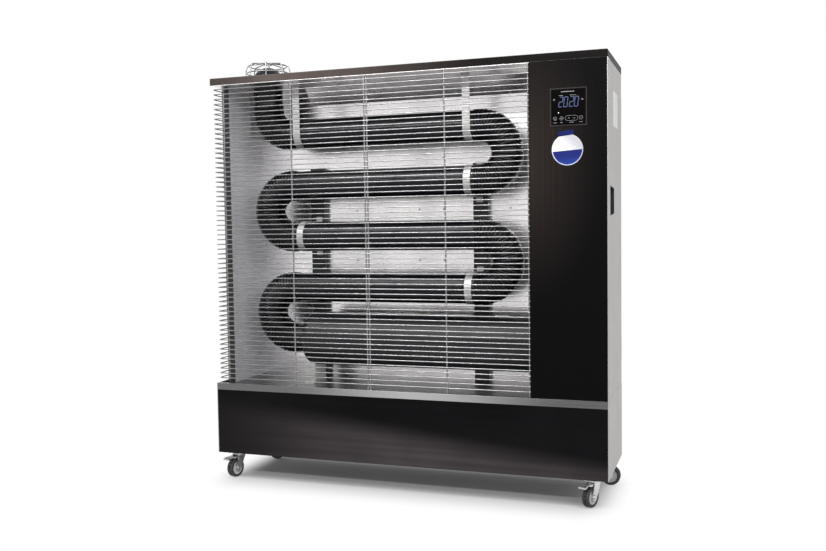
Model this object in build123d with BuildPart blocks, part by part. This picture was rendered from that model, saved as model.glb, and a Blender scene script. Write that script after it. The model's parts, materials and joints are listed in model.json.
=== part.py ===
from build123d import *
from math import cos, radians, sin, sqrt
import os

os.makedirs("parts", exist_ok=True)

# Infrared diesel heater: a flat cabinet on casters, with a serpentine of black heating pipes behind a
# wire guard, a control cabinet on the right and the fuel tank in the base.
# Millimetres. Origin on the floor under the middle of the cabinet, +X to the right of someone facing the
# guard, +Y to the back, +Z up.

# Cabinet
cabinet_width = 1040.0
cabinet_depth = 270.0
cabinet_height = 1000.0
base_height = 188.4
top_plate_height = 18.4
top_edge_radius = 2.5
control_width = 183.0
sheet = 1.5
tray_rim = 25.0

# Base strip and deck
strip_height = 17.4
strip_depth = 12.0
deck_drop = 7.9

# Casters
caster_height = 70.0
wheel_diameter = 50.0
wheel_width = 18.0
caster_trail = 16.0
caster_inset = 40.0
caster_plate_length = 60.0
caster_plate_width = 46.0
caster_plate_thickness = 2.5
caster_cup_radius = 18.0
caster_head_radius = 20.0
caster_head_height = 61.0
fork_thickness = 2.0
fork_gap = 21.0
axle_radius = 3.0
kingpin_radius = 4.0
running_clearance = 0.08
pedal_reach = 52.0

# Heating pipes
pipe_radius = 39.0
pipe_wall = 1.5
pipe_pitch = 138.6
lowest_axis_height = 371.4
left_bend_centre = -348.0
right_bend_centre = 184.0
pleat_height = 3.0
valley_height = 0.5
pleats_per_half_turn = 18
straight_pleats = 1
bend_collar = 4.0
collar_height = 1.0

# Combustion chamber
chamber_radius = 72.0
chamber_wall = 2.0
chamber_dome = 19.0
chamber_left_end = -303.0
flange_radius = 80.0
flange_thickness = 4.0

# Reflectors
reflector_thickness = 1.0
side_reflector_inset = 20.0
back_reflector_inset = 25.0
side_panel_setback = 60.0
slope_front = -3.0
slope_drop = 33.0

# Guard
wire_diameter = 2.8
wire_flats = 6
wire_count = 61
lowest_wire_height = 273.0
highest_wire_height = 1040.0
guard_bend_radius = 8.0
guard_inset_left = 8.0
guard_inset_front = 2.0
upright_radius = 2.0
upright_positions = (-286.0, -82.5, -75.5, 127.5, 334.0)
return_upright_depth = -85.0

# Pipe fixings
strap_width = 20.0
strap_thickness = 1.5
strap_gap = 0.3
left_hanger = -315.0
right_hanger = 157.0
left_clamp = -312.0
right_clamp = 156.0
clamp_width = 18.0
rail_width = 40.0
rail_depth = 21.0
rail_top = 838.0
left_rail = -317.0
right_rail = 158.0
bracket_width = 31.0
bracket_left = -306.5
bracket_spread = 32.0
bracket_sheet = 2.0

# Flue
flue_rise = 18.0
flue_dome_height = 24.0
flue_slots = 12
cage_radius = 57.0
cage_top_radius = 51.5
cage_hub_radius = 12.0
cage_height = 54.0
cage_wire = 3.0
cage_ribs = 8
flue_hole_gap = 1.0
flue_collar_width = 6.0
flue_collar_sheet = 2.0

# Control panel
panel_width = 86.0
panel_height = 88.0
panel_centre_x = 430.0
panel_centre_height = 943.0
panel_border = 3.0
panel_depth = 9.0
key_radius = 4.6
key_gap = 0.2
key_row_height = 917.0
power_key_offset = -30.9
mode_key_offset = -16.0
up_key_offset = 0.7
down_key_offset = 13.6
timer_key_offset = 29.0

# Service door
post_width = 40.5
door_gap = 1.0
door_return = 13.0
hinge_radius = 2.5
hinge_pin_radius = 1.2
hinge_length = 60.0
hinge_inset = 60.0
pull_length = 73.5
pull_front_height = 71.0
pull_back_height = 62.5
pull_centre_height = 726.0
pull_depth = 14.0

# Fuel tank and filler
tank_height = 150.0
tank_wall = 5.0
tank_margin_side = 22.0
tank_margin_end = 20.0
pocket_centre = 200.0
pocket_width = 110.0
pocket_top = 232.0
pocket_knee = 198.0
pocket_front = 50.0
filler_depth_position = 88.0
filler_radius = 20.0
filler_wall = 1.5
filler_rise = 8.0
cap_radius = 25.0
cap_height = 16.0

# Burner and fuel system
burner_radius = 60.0
burner_length = 42.0
scroll_radius = 73.0
scroll_width = 56.0
impeller_radius = 52.0
impeller_blades = 14
motor_radius = 31.0
motor_length = 44.0
motor_shaft_radius = 4.0
pump_radius = 18.0
pump_height = 60.0
pump_x = 430.0
filter_radius = 20.0
filter_height = 50.0
fuel_line_radius = 3.0
fuel_line_depth = -95.0

# Places that follow from the sizes above
left = -cabinet_width / 2
right = cabinet_width / 2
front = -cabinet_depth / 2
back = cabinet_depth / 2
base_bottom = caster_height
base_top = base_bottom + base_height
deck_top = base_top - deck_drop
body_top = base_bottom + cabinet_height
ceiling = body_top - top_plate_height
liner_bottom = ceiling - sheet
bay_right = right - control_width
bay_left = left + sheet
back_liner = back - back_reflector_inset
side_panel_front = front + side_panel_setback
strip_bottom = base_top - strip_height
bend_radius = pipe_pitch / 2
crest_radius = pipe_radius + pleat_height
valley_radius = pipe_radius + valley_height
collar_radius = pipe_radius + collar_height
bore_radius = pipe_radius - pipe_wall
chamber_axis = lowest_axis_height
axis_4 = chamber_axis + pipe_pitch
axis_3 = axis_4 + pipe_pitch
axis_2 = axis_3 + pipe_pitch
axis_1 = axis_2 + pipe_pitch
flue_x = left_bend_centre - bend_radius
pleat_pitch = bend_radius * radians(180 / pleats_per_half_turn)
bend_reach = straight_pleats * pleat_pitch + bend_collar
pipe_left = left_bend_centre + bend_reach
pipe_right = right_bend_centre - bend_reach
flue_start = axis_1 + bend_radius + bend_reach
rib_line = cage_radius + cage_wire
flue_hole_radius = rib_line + cage_wire / 2 + flue_hole_gap
cage_foot = body_top - sheet
strap_inner = pipe_radius + strap_gap
strap_outer = strap_inner + strap_thickness
all_low = (Align.MIN, Align.MIN, Align.MIN)
end_low = (Align.CENTER, Align.CENTER, Align.MIN)


def box_between(low, high, mode=Mode.ADD):
    """Rectangular block between two opposite corners."""
    size = Vector(*high) - Vector(*low)
    with Locations(low):
        Box(size.X, size.Y, size.Z, align=all_low, mode=mode)


def rod(start, end, radius, mode=Mode.ADD):
    """Round bar between two points."""
    line = Vector(*end) - Vector(*start)
    with Locations(Plane(origin=start, z_dir=line)):
        Cylinder(radius, line.length, align=end_low, mode=mode)


def bend_stations(centre, side, start, sweep):
    """Point, direction and radius at every half pleat along a bend in the XZ plane.

    The angle runs from straight up towards the given side of the centre. Both ends carry a short straight
    run of pleats and a smooth collar.
    """
    half = pleat_pitch / 2
    steps = round(pleats_per_half_turn * abs(sweep) / 90)
    turn = sweep / abs(sweep)
    lead = 2 * straight_pleats
    stations = []
    for count in range(-lead - 2, steps + lead + 3):
        angle = radians(start + sweep * min(max(count, 0), steps) / steps)
        tangent = Vector(side * cos(angle), 0, -sin(angle)) * turn
        point = Vector(centre[0] + side * bend_radius * sin(angle), 0, centre[1] + bend_radius * cos(angle))
        ahead = min(count, 0) + max(count - steps, 0)
        radius = crest_radius if count % 2 else valley_radius
        if abs(ahead) > lead:
            radius = collar_radius
            reach = lead * half + (bend_collar if abs(ahead) > lead + 1 else 0.3)
            ahead = reach / half if ahead > 0 else -reach / half
        stations.append((point + tangent * (ahead * half), tangent, radius))
    return stations


def cap_rise(radius, height, distance):
    """Height of a spherical cap above its rim, at a distance from its axis."""
    sphere = (radius**2 + height**2) / (2 * height)
    return height - sphere + sqrt(sphere**2 - distance**2)


# Base: tray, front panel, rear panel with the filler opening, and the deck with its front strip
with BuildPart() as base_tray:
    box_between(
        (bay_left, front + sheet, base_bottom), (right - sheet, back - sheet, base_bottom + tray_rim)
    )
    box_between(
        (bay_left + sheet, front + 2 * sheet, base_bottom + sheet),
        (right - 2 * sheet, back - 2 * sheet, base_bottom + tray_rim),
        Mode.SUBTRACT,
    )
base_tray.part.label = "base_tray"
export_step(base_tray.part, "parts/base_tray.step")

with BuildPart() as base_front_panel:
    box_between((bay_left, front, base_bottom), (right - sheet, front + sheet, strip_bottom))
    box_between((bay_left, front + sheet, strip_bottom - sheet), (right - sheet, front + 16, strip_bottom))
base_front_panel.part.label = "base_front_panel"
export_step(base_front_panel.part, "parts/base_front_panel.step")

pocket_left = pocket_centre - pocket_width / 2
pocket_right = pocket_centre + pocket_width / 2
pocket_back = back - sheet
pocket_bottom = pocket_knee - (pocket_back - pocket_front)
with BuildPart() as base_rear_panel:
    box_between((bay_left, back - sheet, base_bottom), (right - sheet, back, base_top))
    box_between(
        (pocket_left + sheet, back - sheet, pocket_bottom + sheet),
        (pocket_right - sheet, back, pocket_top - sheet),
        Mode.SUBTRACT,
    )
base_rear_panel.part.label = "base_rear_panel"
export_step(base_rear_panel.part, "parts/base_rear_panel.step")

filter_x = bay_right + sheet + 2 + filter_radius
with BuildPart() as base_deck:
    box_between((bay_left, front + strip_depth, deck_top - sheet), (right - sheet, back - sheet, deck_top))
    rod(
        (filter_x, fuel_line_depth, deck_top - sheet),
        (filter_x, fuel_line_depth, deck_top),
        fuel_line_radius + 0.3,
        Mode.SUBTRACT,
    )
    box_between((bay_left, front, strip_bottom), (right - sheet, front + strip_depth, base_top))
    box_between(
        (bay_left, front + sheet, strip_bottom + sheet),
        (right - sheet, front + strip_depth - sheet, base_top - sheet),
        Mode.SUBTRACT,
    )
base_deck.part.label = "base_deck"
export_step(base_deck.part, "parts/base_deck.step")

# Side sheets. The left one stops short of the guard, the right one carries the post in front of the door
with BuildPart() as left_side_panel:
    with BuildSketch(Plane.YZ.offset(left)):
        with BuildLine():
            Polyline(
                (front, base_bottom),
                (back, base_bottom),
                (back, ceiling),
                (side_panel_front, ceiling),
                (side_panel_front, base_top),
                (front, base_top),
                close=True,
            )
        make_face()
    extrude(amount=sheet)
left_side_panel.part.label = "left_side_panel"
export_step(left_side_panel.part, "parts/left_side_panel.step")

post_back = front + post_width
with BuildPart() as right_side_frame:
    with BuildSketch(Plane.YZ.offset(right - sheet)):
        with BuildLine():
            Polyline(
                (front, base_bottom),
                (back, base_bottom),
                (back, base_top),
                (post_back, base_top),
                (post_back, ceiling),
                (front, ceiling),
                close=True,
            )
        make_face()
    extrude(amount=sheet)
    box_between((right - 22, post_back - sheet, base_top), (right - sheet, post_back, ceiling))
right_side_frame.part.label = "right_side_frame"
export_step(right_side_frame.part, "parts/right_side_frame.step")

# Fuel tank with a notch under the filler pocket, and the slanted neck that opens into the pocket
tank_floor = base_bottom + sheet
tank_top = tank_floor + tank_height
tank_left = left + tank_margin_end
tank_right = right - tank_margin_end
tank_front = front + tank_margin_side
tank_back = back - tank_margin_side
notch_left = pocket_left - 5
notch_right = pocket_right + 5
notch_front = pocket_front - 5
notch_floor = tank_floor + 12
slant = Vector(0, 1, 1).normalized()
slope_height = pocket_knee - (filler_depth_position - pocket_front)
neck_base = Vector(pocket_centre, filler_depth_position, slope_height)
neck_foot = neck_base - slant * (filler_depth_position - notch_front + 0.75 * filler_radius) * sqrt(2)
neck_top = neck_base + slant * filler_rise
with BuildPart() as fuel_tank:
    box_between((tank_left, tank_front, tank_floor), (tank_right, tank_back, tank_top))
    fillet(fuel_tank.edges().filter_by(Axis.Z), 14)
    fillet(fuel_tank.faces().sort_by(Axis.Z)[-1].edges(), 6)
    box_between(
        (tank_left + tank_wall, tank_front + tank_wall, tank_floor + tank_wall),
        (tank_right - tank_wall, tank_back - tank_wall, tank_top - tank_wall),
        Mode.SUBTRACT,
    )
    box_between(
        (notch_left - tank_wall, notch_front - tank_wall, notch_floor - tank_wall),
        (notch_right + tank_wall, tank_back - tank_wall, tank_top - tank_wall),
    )
    box_between((notch_left, notch_front, notch_floor), (notch_right, back, tank_top), Mode.SUBTRACT)
    rod(neck_foot, neck_base, filler_radius - filler_wall, Mode.SUBTRACT)
fuel_tank.part.label = "fuel_tank"
export_step(fuel_tank.part, "parts/fuel_tank.step")

with BuildPart() as filler_neck:
    with BuildSketch(Plane.YZ.offset(pocket_left)):
        with BuildLine():
            Polyline(
                (pocket_front, pocket_top),
                (pocket_front, pocket_knee),
                (pocket_back, pocket_bottom),
                (pocket_back, pocket_top),
                close=True,
            )
        make_face()
    extrude(amount=pocket_width)
    with BuildSketch(Plane.YZ.offset(pocket_left + sheet)):
        with BuildLine():
            Polyline(
                (pocket_front + sheet, pocket_top - sheet),
                (pocket_front + sheet, pocket_knee),
                (pocket_back, pocket_bottom + sheet),
                (pocket_back, pocket_top - sheet),
                close=True,
            )
        make_face()
    extrude(amount=pocket_width - 2 * sheet, mode=Mode.SUBTRACT)
    rod(neck_foot, neck_top, filler_radius)
    rod(neck_foot, neck_top, filler_radius - filler_wall, Mode.SUBTRACT)
    box_between(
        (notch_left, notch_front - 60, base_bottom), (notch_right, notch_front, pocket_top), Mode.SUBTRACT
    )
filler_neck.part.label = "filler_neck"
export_step(filler_neck.part, "parts/filler_neck.step")

slope_sheet = sheet / sqrt(2)
cap_seat = neck_base + slant * (slope_sheet + strap_gap)
cap_end = cap_seat + slant * cap_height
with BuildPart() as filler_cap:
    rod(cap_seat, cap_end, cap_radius)
    rod(
        cap_seat,
        cap_seat + slant * (filler_rise - slope_sheet),
        filler_radius + running_clearance,
        Mode.SUBTRACT,
    )
    with BuildSketch(Plane(origin=cap_end, x_dir=(1, 0, 0), z_dir=slant)):
        SlotOverall(cap_radius * 1.7, 8)
    extrude(amount=5)
filler_cap.part.label = "filler_cap"
export_step(filler_cap.part, "parts/filler_cap.step")

# Hot bay lining
lining_left = left + side_reflector_inset
with BuildPart() as left_flange_strip:
    box_between(
        (bay_left, side_panel_front, deck_top),
        (lining_left + reflector_thickness, side_panel_front + sheet, liner_bottom),
    )
left_flange_strip.part.label = "left_flange_strip"
export_step(left_flange_strip.part, "parts/left_flange_strip.step")

with BuildPart() as side_reflector:
    with BuildSketch(Plane.YZ.offset(lining_left)):
        with BuildLine():
            Polyline(
                (side_panel_front + sheet, deck_top),
                (back_liner, deck_top),
                (back_liner, axis_1 + 2),
                (43, axis_1 + 2),
                (43, liner_bottom),
                (side_panel_front + sheet, liner_bottom),
                close=True,
            )
        make_face()
    extrude(amount=reflector_thickness)
side_reflector.part.label = "side_reflector"
export_step(side_reflector.part, "parts/side_reflector.step")

with BuildPart() as back_reflector:
    box_between(
        (bay_left, back_liner, deck_top), (bay_right, back_liner + reflector_thickness, liner_bottom)
    )
back_reflector.part.label = "back_reflector"
export_step(back_reflector.part, "parts/back_reflector.step")

# Ceiling sheet with the sloped deflector that throws the heat forward, its left end cut at a slant
with BuildPart() as top_reflector:
    box_between(
        (bay_left, front + sheet, liner_bottom), (bay_right, back_liner + reflector_thickness, ceiling)
    )
    with BuildSketch(Plane.YZ.offset(bay_right)):
        with BuildLine():
            Polyline(
                (slope_front, liner_bottom),
                (back_liner, liner_bottom - slope_drop),
                (back_liner, liner_bottom - slope_drop + 1.1),
                (slope_front + 4, liner_bottom),
                close=True,
            )
        make_face()
    extrude(amount=flue_x + pipe_radius - bay_right)
    with BuildSketch(Plane.XY.offset(liner_bottom - slope_drop - 1)):
        with BuildLine():
            Polyline(
                (flue_x, slope_front - 5),
                (left_hanger + 12, slope_front - 5),
                (left_hanger - 23.5, back_liner),
                (flue_x, back_liner),
                close=True,
            )
        make_face()
    extrude(amount=slope_drop + 1, mode=Mode.SUBTRACT)
    rod((flue_x, 0, liner_bottom), (flue_x, 0, ceiling), pipe_radius + strap_gap, Mode.SUBTRACT)
top_reflector.part.label = "top_reflector"
export_step(top_reflector.part, "parts/top_reflector.step")

burner_start = bay_right + sheet
with BuildPart() as partition_wall:
    box_between((bay_right, front + 20, deck_top), (burner_start, back - sheet, liner_bottom))
    rod(
        (bay_right, 0, chamber_axis),
        (burner_start, 0, chamber_axis),
        chamber_radius + strap_gap,
        Mode.SUBTRACT,
    )
partition_wall.part.label = "partition_wall"
export_step(partition_wall.part, "parts/partition_wall.step")

# Control cabinet: front panel, rear cover and power inlet
panel_left = panel_centre_x - panel_width / 2
panel_right = panel_centre_x + panel_width / 2
panel_bottom = panel_centre_height - panel_height / 2
panel_top = panel_centre_height + panel_height / 2
with BuildPart() as control_front_panel:
    box_between((bay_right, front, base_top), (right - sheet, front + sheet, ceiling))
    box_between((bay_right, front + sheet, base_top), (burner_start, front + 20, ceiling))
    box_between(
        (panel_left + 1.5, front, panel_bottom + 1.5),
        (panel_right - 1.5, front + sheet, panel_top - 1.5),
        Mode.SUBTRACT,
    )
control_front_panel.part.label = "control_front_panel"
export_step(control_front_panel.part, "parts/control_front_panel.step")

hinge_x = right - hinge_radius
hinge_y = back - hinge_radius
cover_right = hinge_x - hinge_radius - 0.5
inlet_x = panel_centre_x
inlet_height = base_top + 45
with BuildPart() as rear_cover:
    box_between((bay_left, back - sheet, base_top), (cover_right, back, ceiling))
    with BuildSketch(Plane.XZ.offset(-back)):
        with Locations((-380, 930), (-130, 930), (120, 930), (430, 880)):
            with GridLocations(200, 14, 1, 8):
                Rectangle(110, 5)
        with Locations((inlet_x, inlet_height)):
            Rectangle(46, 28)
    extrude(amount=sheet, mode=Mode.SUBTRACT)
rear_cover.part.label = "rear_cover"
export_step(rear_cover.part, "parts/rear_cover.step")

with BuildPart() as power_inlet:
    with BuildSketch(Plane.XZ.offset(sheet - back)):
        with Locations((inlet_x, inlet_height)):
            Rectangle(60, 34)
    extrude(amount=2.5)
    with BuildSketch(Plane.XZ.offset(-back)):
        with Locations((inlet_x, inlet_height)):
            Rectangle(45.4, 27.4)
    extrude(amount=26)
    with BuildSketch(Plane.XZ.offset(-back)):
        with Locations((inlet_x, inlet_height)):
            Rectangle(28, 20)
    extrude(amount=20, mode=Mode.SUBTRACT)
    with BuildSketch(Plane.XZ.offset(20 - back)):
        with Locations((inlet_x - 7, inlet_height - 2), (inlet_x + 7, inlet_height - 2)):
            Rectangle(2, 4)
        with Locations((inlet_x, inlet_height + 3)):
            Rectangle(2, 4)
    extrude(amount=-15)
power_inlet.part.label = "power_inlet"
export_step(power_inlet.part, "parts/power_inlet.step")

# Service door, hinged on the rear corner, with the recessed pull at its front edge
door_front = post_back + door_gap
door_back = hinge_y - hinge_radius - 0.5
door_bottom = base_top + door_gap
door_top = ceiling - door_gap
hinge_third = hinge_length / 3
hinge_starts = (door_bottom + hinge_inset, door_top - hinge_inset - hinge_length)
pull_back = door_front + pull_length
pull_outline = (
    (door_front, pull_centre_height - pull_front_height / 2),
    (pull_back, pull_centre_height - pull_back_height / 2),
    (pull_back, pull_centre_height + pull_back_height / 2),
    (door_front, pull_centre_height + pull_front_height / 2),
)
with BuildPart() as side_door:
    box_between((right - sheet, door_front, door_bottom), (right, door_back, door_top))
    box_between((right - door_return, door_front, door_bottom), (right, door_back - 5, door_top))
    box_between(
        (right - door_return, door_front + sheet, door_bottom + sheet),
        (right - sheet, door_back, door_top - sheet),
        Mode.SUBTRACT,
    )
    with BuildSketch(Plane.YZ.offset(right - 20)):
        with BuildLine():
            Polyline(*pull_outline, close=True)
        make_face()
    extrude(amount=20, mode=Mode.SUBTRACT)
    for start in hinge_starts:
        box_between(
            (hinge_x - 0.2, door_back - 20, start + hinge_third + 0.3),
            (right - sheet, hinge_y, start + 2 * hinge_third - 0.3),
        )
        rod(
            (hinge_x, hinge_y, start + hinge_third + 0.3),
            (hinge_x, hinge_y, start + 2 * hinge_third - 0.3),
            hinge_radius,
        )
        rod(
            (hinge_x, hinge_y, start),
            (hinge_x, hinge_y, start + hinge_length),
            hinge_pin_radius + running_clearance,
            Mode.SUBTRACT,
        )
side_door.part.label = "side_door"
export_step(side_door.part, "parts/side_door.step")

with BuildPart() as door_pull_cup:
    with BuildSketch(Plane.YZ.offset(right - pull_depth - sheet)) as pull_face:
        with BuildLine():
            Polyline(*pull_outline, close=True)
        make_face()
    extrude(amount=pull_depth + sheet)
    with BuildSketch(Plane.YZ.offset(right - pull_depth)):
        with BuildLine():
            Polyline(*pull_outline, close=True)
        make_face()
        offset(amount=-sheet, kind=Kind.INTERSECTION)
    extrude(amount=pull_depth, mode=Mode.SUBTRACT)
door_pull_cup.part.label = "door_pull_cup"
export_step(door_pull_cup.part, "parts/door_pull_cup.step")

hinge_leaf = 1.2
with BuildPart() as door_hinges:
    for start in hinge_starts:
        box_between(
            (hinge_x - 26, back - sheet - hinge_leaf, start),
            (hinge_x - 0.2, back - sheet, start + hinge_length),
        )
        box_between(
            (hinge_x - 5, back - sheet - hinge_leaf, start + hinge_third - 0.3),
            (hinge_x + 3, back, start + 2 * hinge_third + 0.3),
            Mode.SUBTRACT,
        )
        rod((hinge_x, hinge_y, start), (hinge_x, hinge_y, start + hinge_third), hinge_radius)
        rod(
            (hinge_x, hinge_y, start + 2 * hinge_third),
            (hinge_x, hinge_y, start + hinge_length),
            hinge_radius,
        )
        rod((hinge_x, hinge_y, start), (hinge_x, hinge_y, start + hinge_length), hinge_pin_radius)
door_hinges.part.label = "door_hinges"
export_step(door_hinges.part, "parts/door_hinges.step")

# Top plate, open below, with a hole round the flue and its cage
with BuildPart() as top_plate:
    box_between((left, front, ceiling), (right, back, body_top))
    fillet(top_plate.edges().filter_by(Axis.Z), top_edge_radius)
    fillet(top_plate.faces().sort_by(Axis.Z)[-1].edges(), top_edge_radius)
    box_between(
        (left + sheet, front + sheet, ceiling),
        (right - sheet, back - sheet, body_top - sheet),
        Mode.SUBTRACT,
    )
    rod((flue_x, 0, ceiling), (flue_x, 0, body_top), flue_hole_radius, Mode.SUBTRACT)
top_plate.part.label = "top_plate"
export_step(top_plate.part, "parts/top_plate.step")

# Flue outlet: a pipe closed by a slotted dome, with a collar that seats under the top sheet round the hole
flue_top = body_top + flue_rise
with BuildPart() as flue_pipe:
    for radius, height, mode in (
        (pipe_radius, flue_dome_height, Mode.ADD),
        (bore_radius, flue_dome_height - pipe_wall, Mode.SUBTRACT),
    ):
        with BuildSketch(Plane.XZ):
            with BuildLine():
                Polyline(
                    (flue_x, flue_top + height),
                    (flue_x, flue_start),
                    (flue_x + radius, flue_start),
                    (flue_x + radius, flue_top),
                )
                ThreePointArc(
                    (flue_x + radius, flue_top),
                    (flue_x + radius * 0.6, flue_top + cap_rise(radius, height, radius * 0.6)),
                    (flue_x, flue_top + height),
                )
            make_face()
        revolve(axis=Axis((flue_x, 0, 0), (0, 0, 1)), mode=mode)
    with BuildSketch(Plane.XY.offset(cage_foot)):
        with Locations((flue_x, 0)):
            Circle(flue_hole_radius + flue_collar_width)
            Circle(pipe_radius - pipe_wall / 2, mode=Mode.SUBTRACT)
    extrude(amount=-flue_collar_sheet)
    with BuildSketch(Plane.XY.offset(body_top + 5)):
        with Locations((flue_x, 0)):
            with PolarLocations(pipe_radius - 1, flue_slots):
                Rectangle(8, 9)
    extrude(amount=flue_rise - 7, mode=Mode.SUBTRACT)
flue_pipe.part.label = "flue_pipe"
export_step(flue_pipe.part, "parts/flue_pipe.step")

# Wire cage on the collar of the flue: hoops inside ribs that meet on a small hub ring
cage_top = body_top + cage_height
with BuildPart() as cage_rib:
    with BuildLine(Plane.XZ) as rib_path:
        FilletPolyline(
            (rib_line, cage_foot),
            (rib_line, body_top + 34),
            (cage_top_radius + cage_wire, cage_top - 6),
            (cage_hub_radius, cage_top),
            radius=6,
        )
    with BuildSketch(Plane(origin=(rib_line, 0, cage_foot), x_dir=(1, 0, 0), z_dir=(0, 0, 1))):
        RegularPolygon(cage_wire / 2, wire_flats, major_radius=False, rotation=30)
    sweep(path=rib_path.line)

with BuildPart() as flue_cage:
    with Locations((flue_x, 0, 0)):
        with PolarLocations(0, cage_ribs, start_angle=180 / cage_ribs):
            add(cage_rib.part)
    with BuildSketch(Plane.XZ):
        with Locations(
            (flue_x + cage_radius, body_top + 6),
            (flue_x + cage_radius, body_top + 26),
            (flue_x + cage_top_radius, cage_top - 8),
            (flue_x + cage_hub_radius, cage_top - cage_wire),
        ):
            RegularPolygon(cage_wire / 2, wire_flats, major_radius=False, rotation=30)
    revolve(axis=Axis((flue_x, 0, 0), (0, 0, 1)))
flue_cage.part.label = "flue_cage"
export_step(flue_cage.part, "parts/flue_cage.step")

# Pleated elbow from the top pipe up to the flue
elbow_centre = (left_bend_centre, axis_1 + bend_radius)
diagonal = bend_radius * sqrt(0.5)
with BuildPart() as flue_elbow:
    for point, tangent, radius in bend_stations(elbow_centre, -1, 180, -90):
        with BuildSketch(Plane(origin=point, x_dir=(0, 1, 0), z_dir=tangent)):
            Circle(radius)
    loft(ruled=True)
    with BuildLine(Plane.XZ) as elbow_path:
        Line((pipe_left, axis_1), (left_bend_centre, axis_1))
        ThreePointArc(
            (left_bend_centre, axis_1),
            (elbow_centre[0] - diagonal, elbow_centre[1] - diagonal),
            (flue_x, elbow_centre[1]),
        )
        Line((flue_x, elbow_centre[1]), (flue_x, flue_start))
    with BuildSketch(Plane(origin=(pipe_left, 0, axis_1), x_dir=(0, 1, 0), z_dir=(-1, 0, 0))):
        Circle(bore_radius)
    sweep(path=elbow_path.line, mode=Mode.SUBTRACT)
flue_elbow.part.label = "flue_elbow"
export_step(flue_elbow.part, "parts/flue_elbow.step")

# One pleated half-turn bend about the origin, bulging to +X, and its mirror image for the left side
with BuildPart() as right_bend:
    for point, tangent, radius in bend_stations((0, 0), 1, 0, 180):
        with BuildSketch(Plane(origin=point, x_dir=(0, 1, 0), z_dir=tangent)):
            Circle(radius)
    loft(ruled=True)
    with BuildLine(Plane.XZ) as bend_path:
        Line((-bend_reach, bend_radius), (0, bend_radius))
        ThreePointArc((0, bend_radius), (bend_radius, 0), (0, -bend_radius))
        Line((0, -bend_radius), (-bend_reach, -bend_radius))
    with BuildSketch(Plane(origin=(-bend_reach, 0, bend_radius), x_dir=(0, 1, 0), z_dir=(1, 0, 0))):
        Circle(bore_radius)
    sweep(path=bend_path.line, mode=Mode.SUBTRACT)

with BuildPart() as left_bend:
    add(right_bend.part)
    mirror(about=Plane.YZ, mode=Mode.REPLACE)

with BuildPart() as return_bends:
    with Locations(
        (right_bend_centre, 0, (axis_1 + axis_2) / 2), (right_bend_centre, 0, (axis_3 + axis_4) / 2)
    ):
        add(right_bend.part)
    with Locations(
        (left_bend_centre, 0, (axis_2 + axis_3) / 2), (left_bend_centre, 0, (axis_4 + chamber_axis) / 2)
    ):
        add(left_bend.part)
return_bends.part.label = "return_bends"
export_step(return_bends.part, "parts/return_bends.step")

with BuildPart() as heat_pipes:
    with BuildSketch(Plane.YZ.offset(pipe_left)):
        with Locations((0, axis_1), (0, axis_2), (0, axis_3), (0, axis_4)):
            Circle(pipe_radius)
            Circle(bore_radius, mode=Mode.SUBTRACT)
    extrude(amount=pipe_right - pipe_left)
heat_pipes.part.label = "heat_pipes"
export_step(heat_pipes.part, "parts/heat_pipes.step")

# Combustion chamber with a domed left end and a spigot for the lowest bend
chamber_end = burner_start + flange_thickness
with BuildPart() as combustion_chamber:
    rod((chamber_left_end, 0, chamber_axis), (burner_start, 0, chamber_axis), chamber_radius)
    fillet(combustion_chamber.faces().sort_by(Axis.X)[0].edges(), chamber_dome)
    rod((burner_start, 0, chamber_axis), (chamber_end, 0, chamber_axis), flange_radius)
    rod((pipe_left, 0, chamber_axis), (chamber_left_end + 1, 0, chamber_axis), pipe_radius)
    rod(
        (chamber_left_end + chamber_dome, 0, chamber_axis),
        (chamber_end, 0, chamber_axis),
        chamber_radius - chamber_wall,
        Mode.SUBTRACT,
    )
    rod((pipe_left, 0, chamber_axis), (0, 0, chamber_axis), bore_radius, Mode.SUBTRACT)
combustion_chamber.part.label = "combustion_chamber"
export_step(combustion_chamber.part, "parts/combustion_chamber.step")

# Hanger straps of the top pipe: a ceiling flange, a drop in front of the pipe and a hook under it
with BuildPart() as hanger_straps:
    for centre in (left_hanger, right_hanger):
        with BuildSketch(Plane.YZ.offset(centre - strap_width / 2)):
            with Locations((0, axis_1)):
                Circle(strap_outer)
                Circle(strap_inner, mode=Mode.SUBTRACT)
            with Locations((0, axis_1 + strap_outer / 2)):
                Rectangle(2 * strap_outer, strap_outer, mode=Mode.SUBTRACT)
            with Locations((20 + strap_outer / 2, axis_1 - strap_outer / 2)):
                Rectangle(strap_outer, strap_outer, mode=Mode.SUBTRACT)
            with Locations((-(strap_inner + strap_outer) / 2, (axis_1 + liner_bottom) / 2)):
                Rectangle(strap_thickness, liner_bottom - axis_1)
            with Locations((-strap_inner - 12.5, liner_bottom - strap_thickness / 2)):
                Rectangle(25, strap_thickness)
        extrude(amount=strap_width)
        rod(
            (centre, -strap_outer - 13, liner_bottom - strap_thickness - 2),
            (centre, -strap_outer - 13, liner_bottom - strap_thickness),
            4,
        )
hanger_straps.part.label = "hanger_straps"
export_step(hanger_straps.part, "parts/hanger_straps.step")

# Rails up the back wall and the clamps that hold the other pipes to them
rail_front = back_liner - rail_depth
with BuildPart() as pipe_rails:
    with BuildSketch(Plane.XY.offset(deck_top)):
        with Locations((left_rail, back_liner - rail_depth / 2), (right_rail, back_liner - rail_depth / 2)):
            Rectangle(rail_width, rail_depth)
            with Locations((0, sheet / 2)):
                Rectangle(rail_width - 2 * sheet, rail_depth - sheet, mode=Mode.SUBTRACT)
    extrude(amount=rail_top - deck_top)
pipe_rails.part.label = "pipe_rails"
export_step(pipe_rails.part, "parts/pipe_rails.step")

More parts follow.
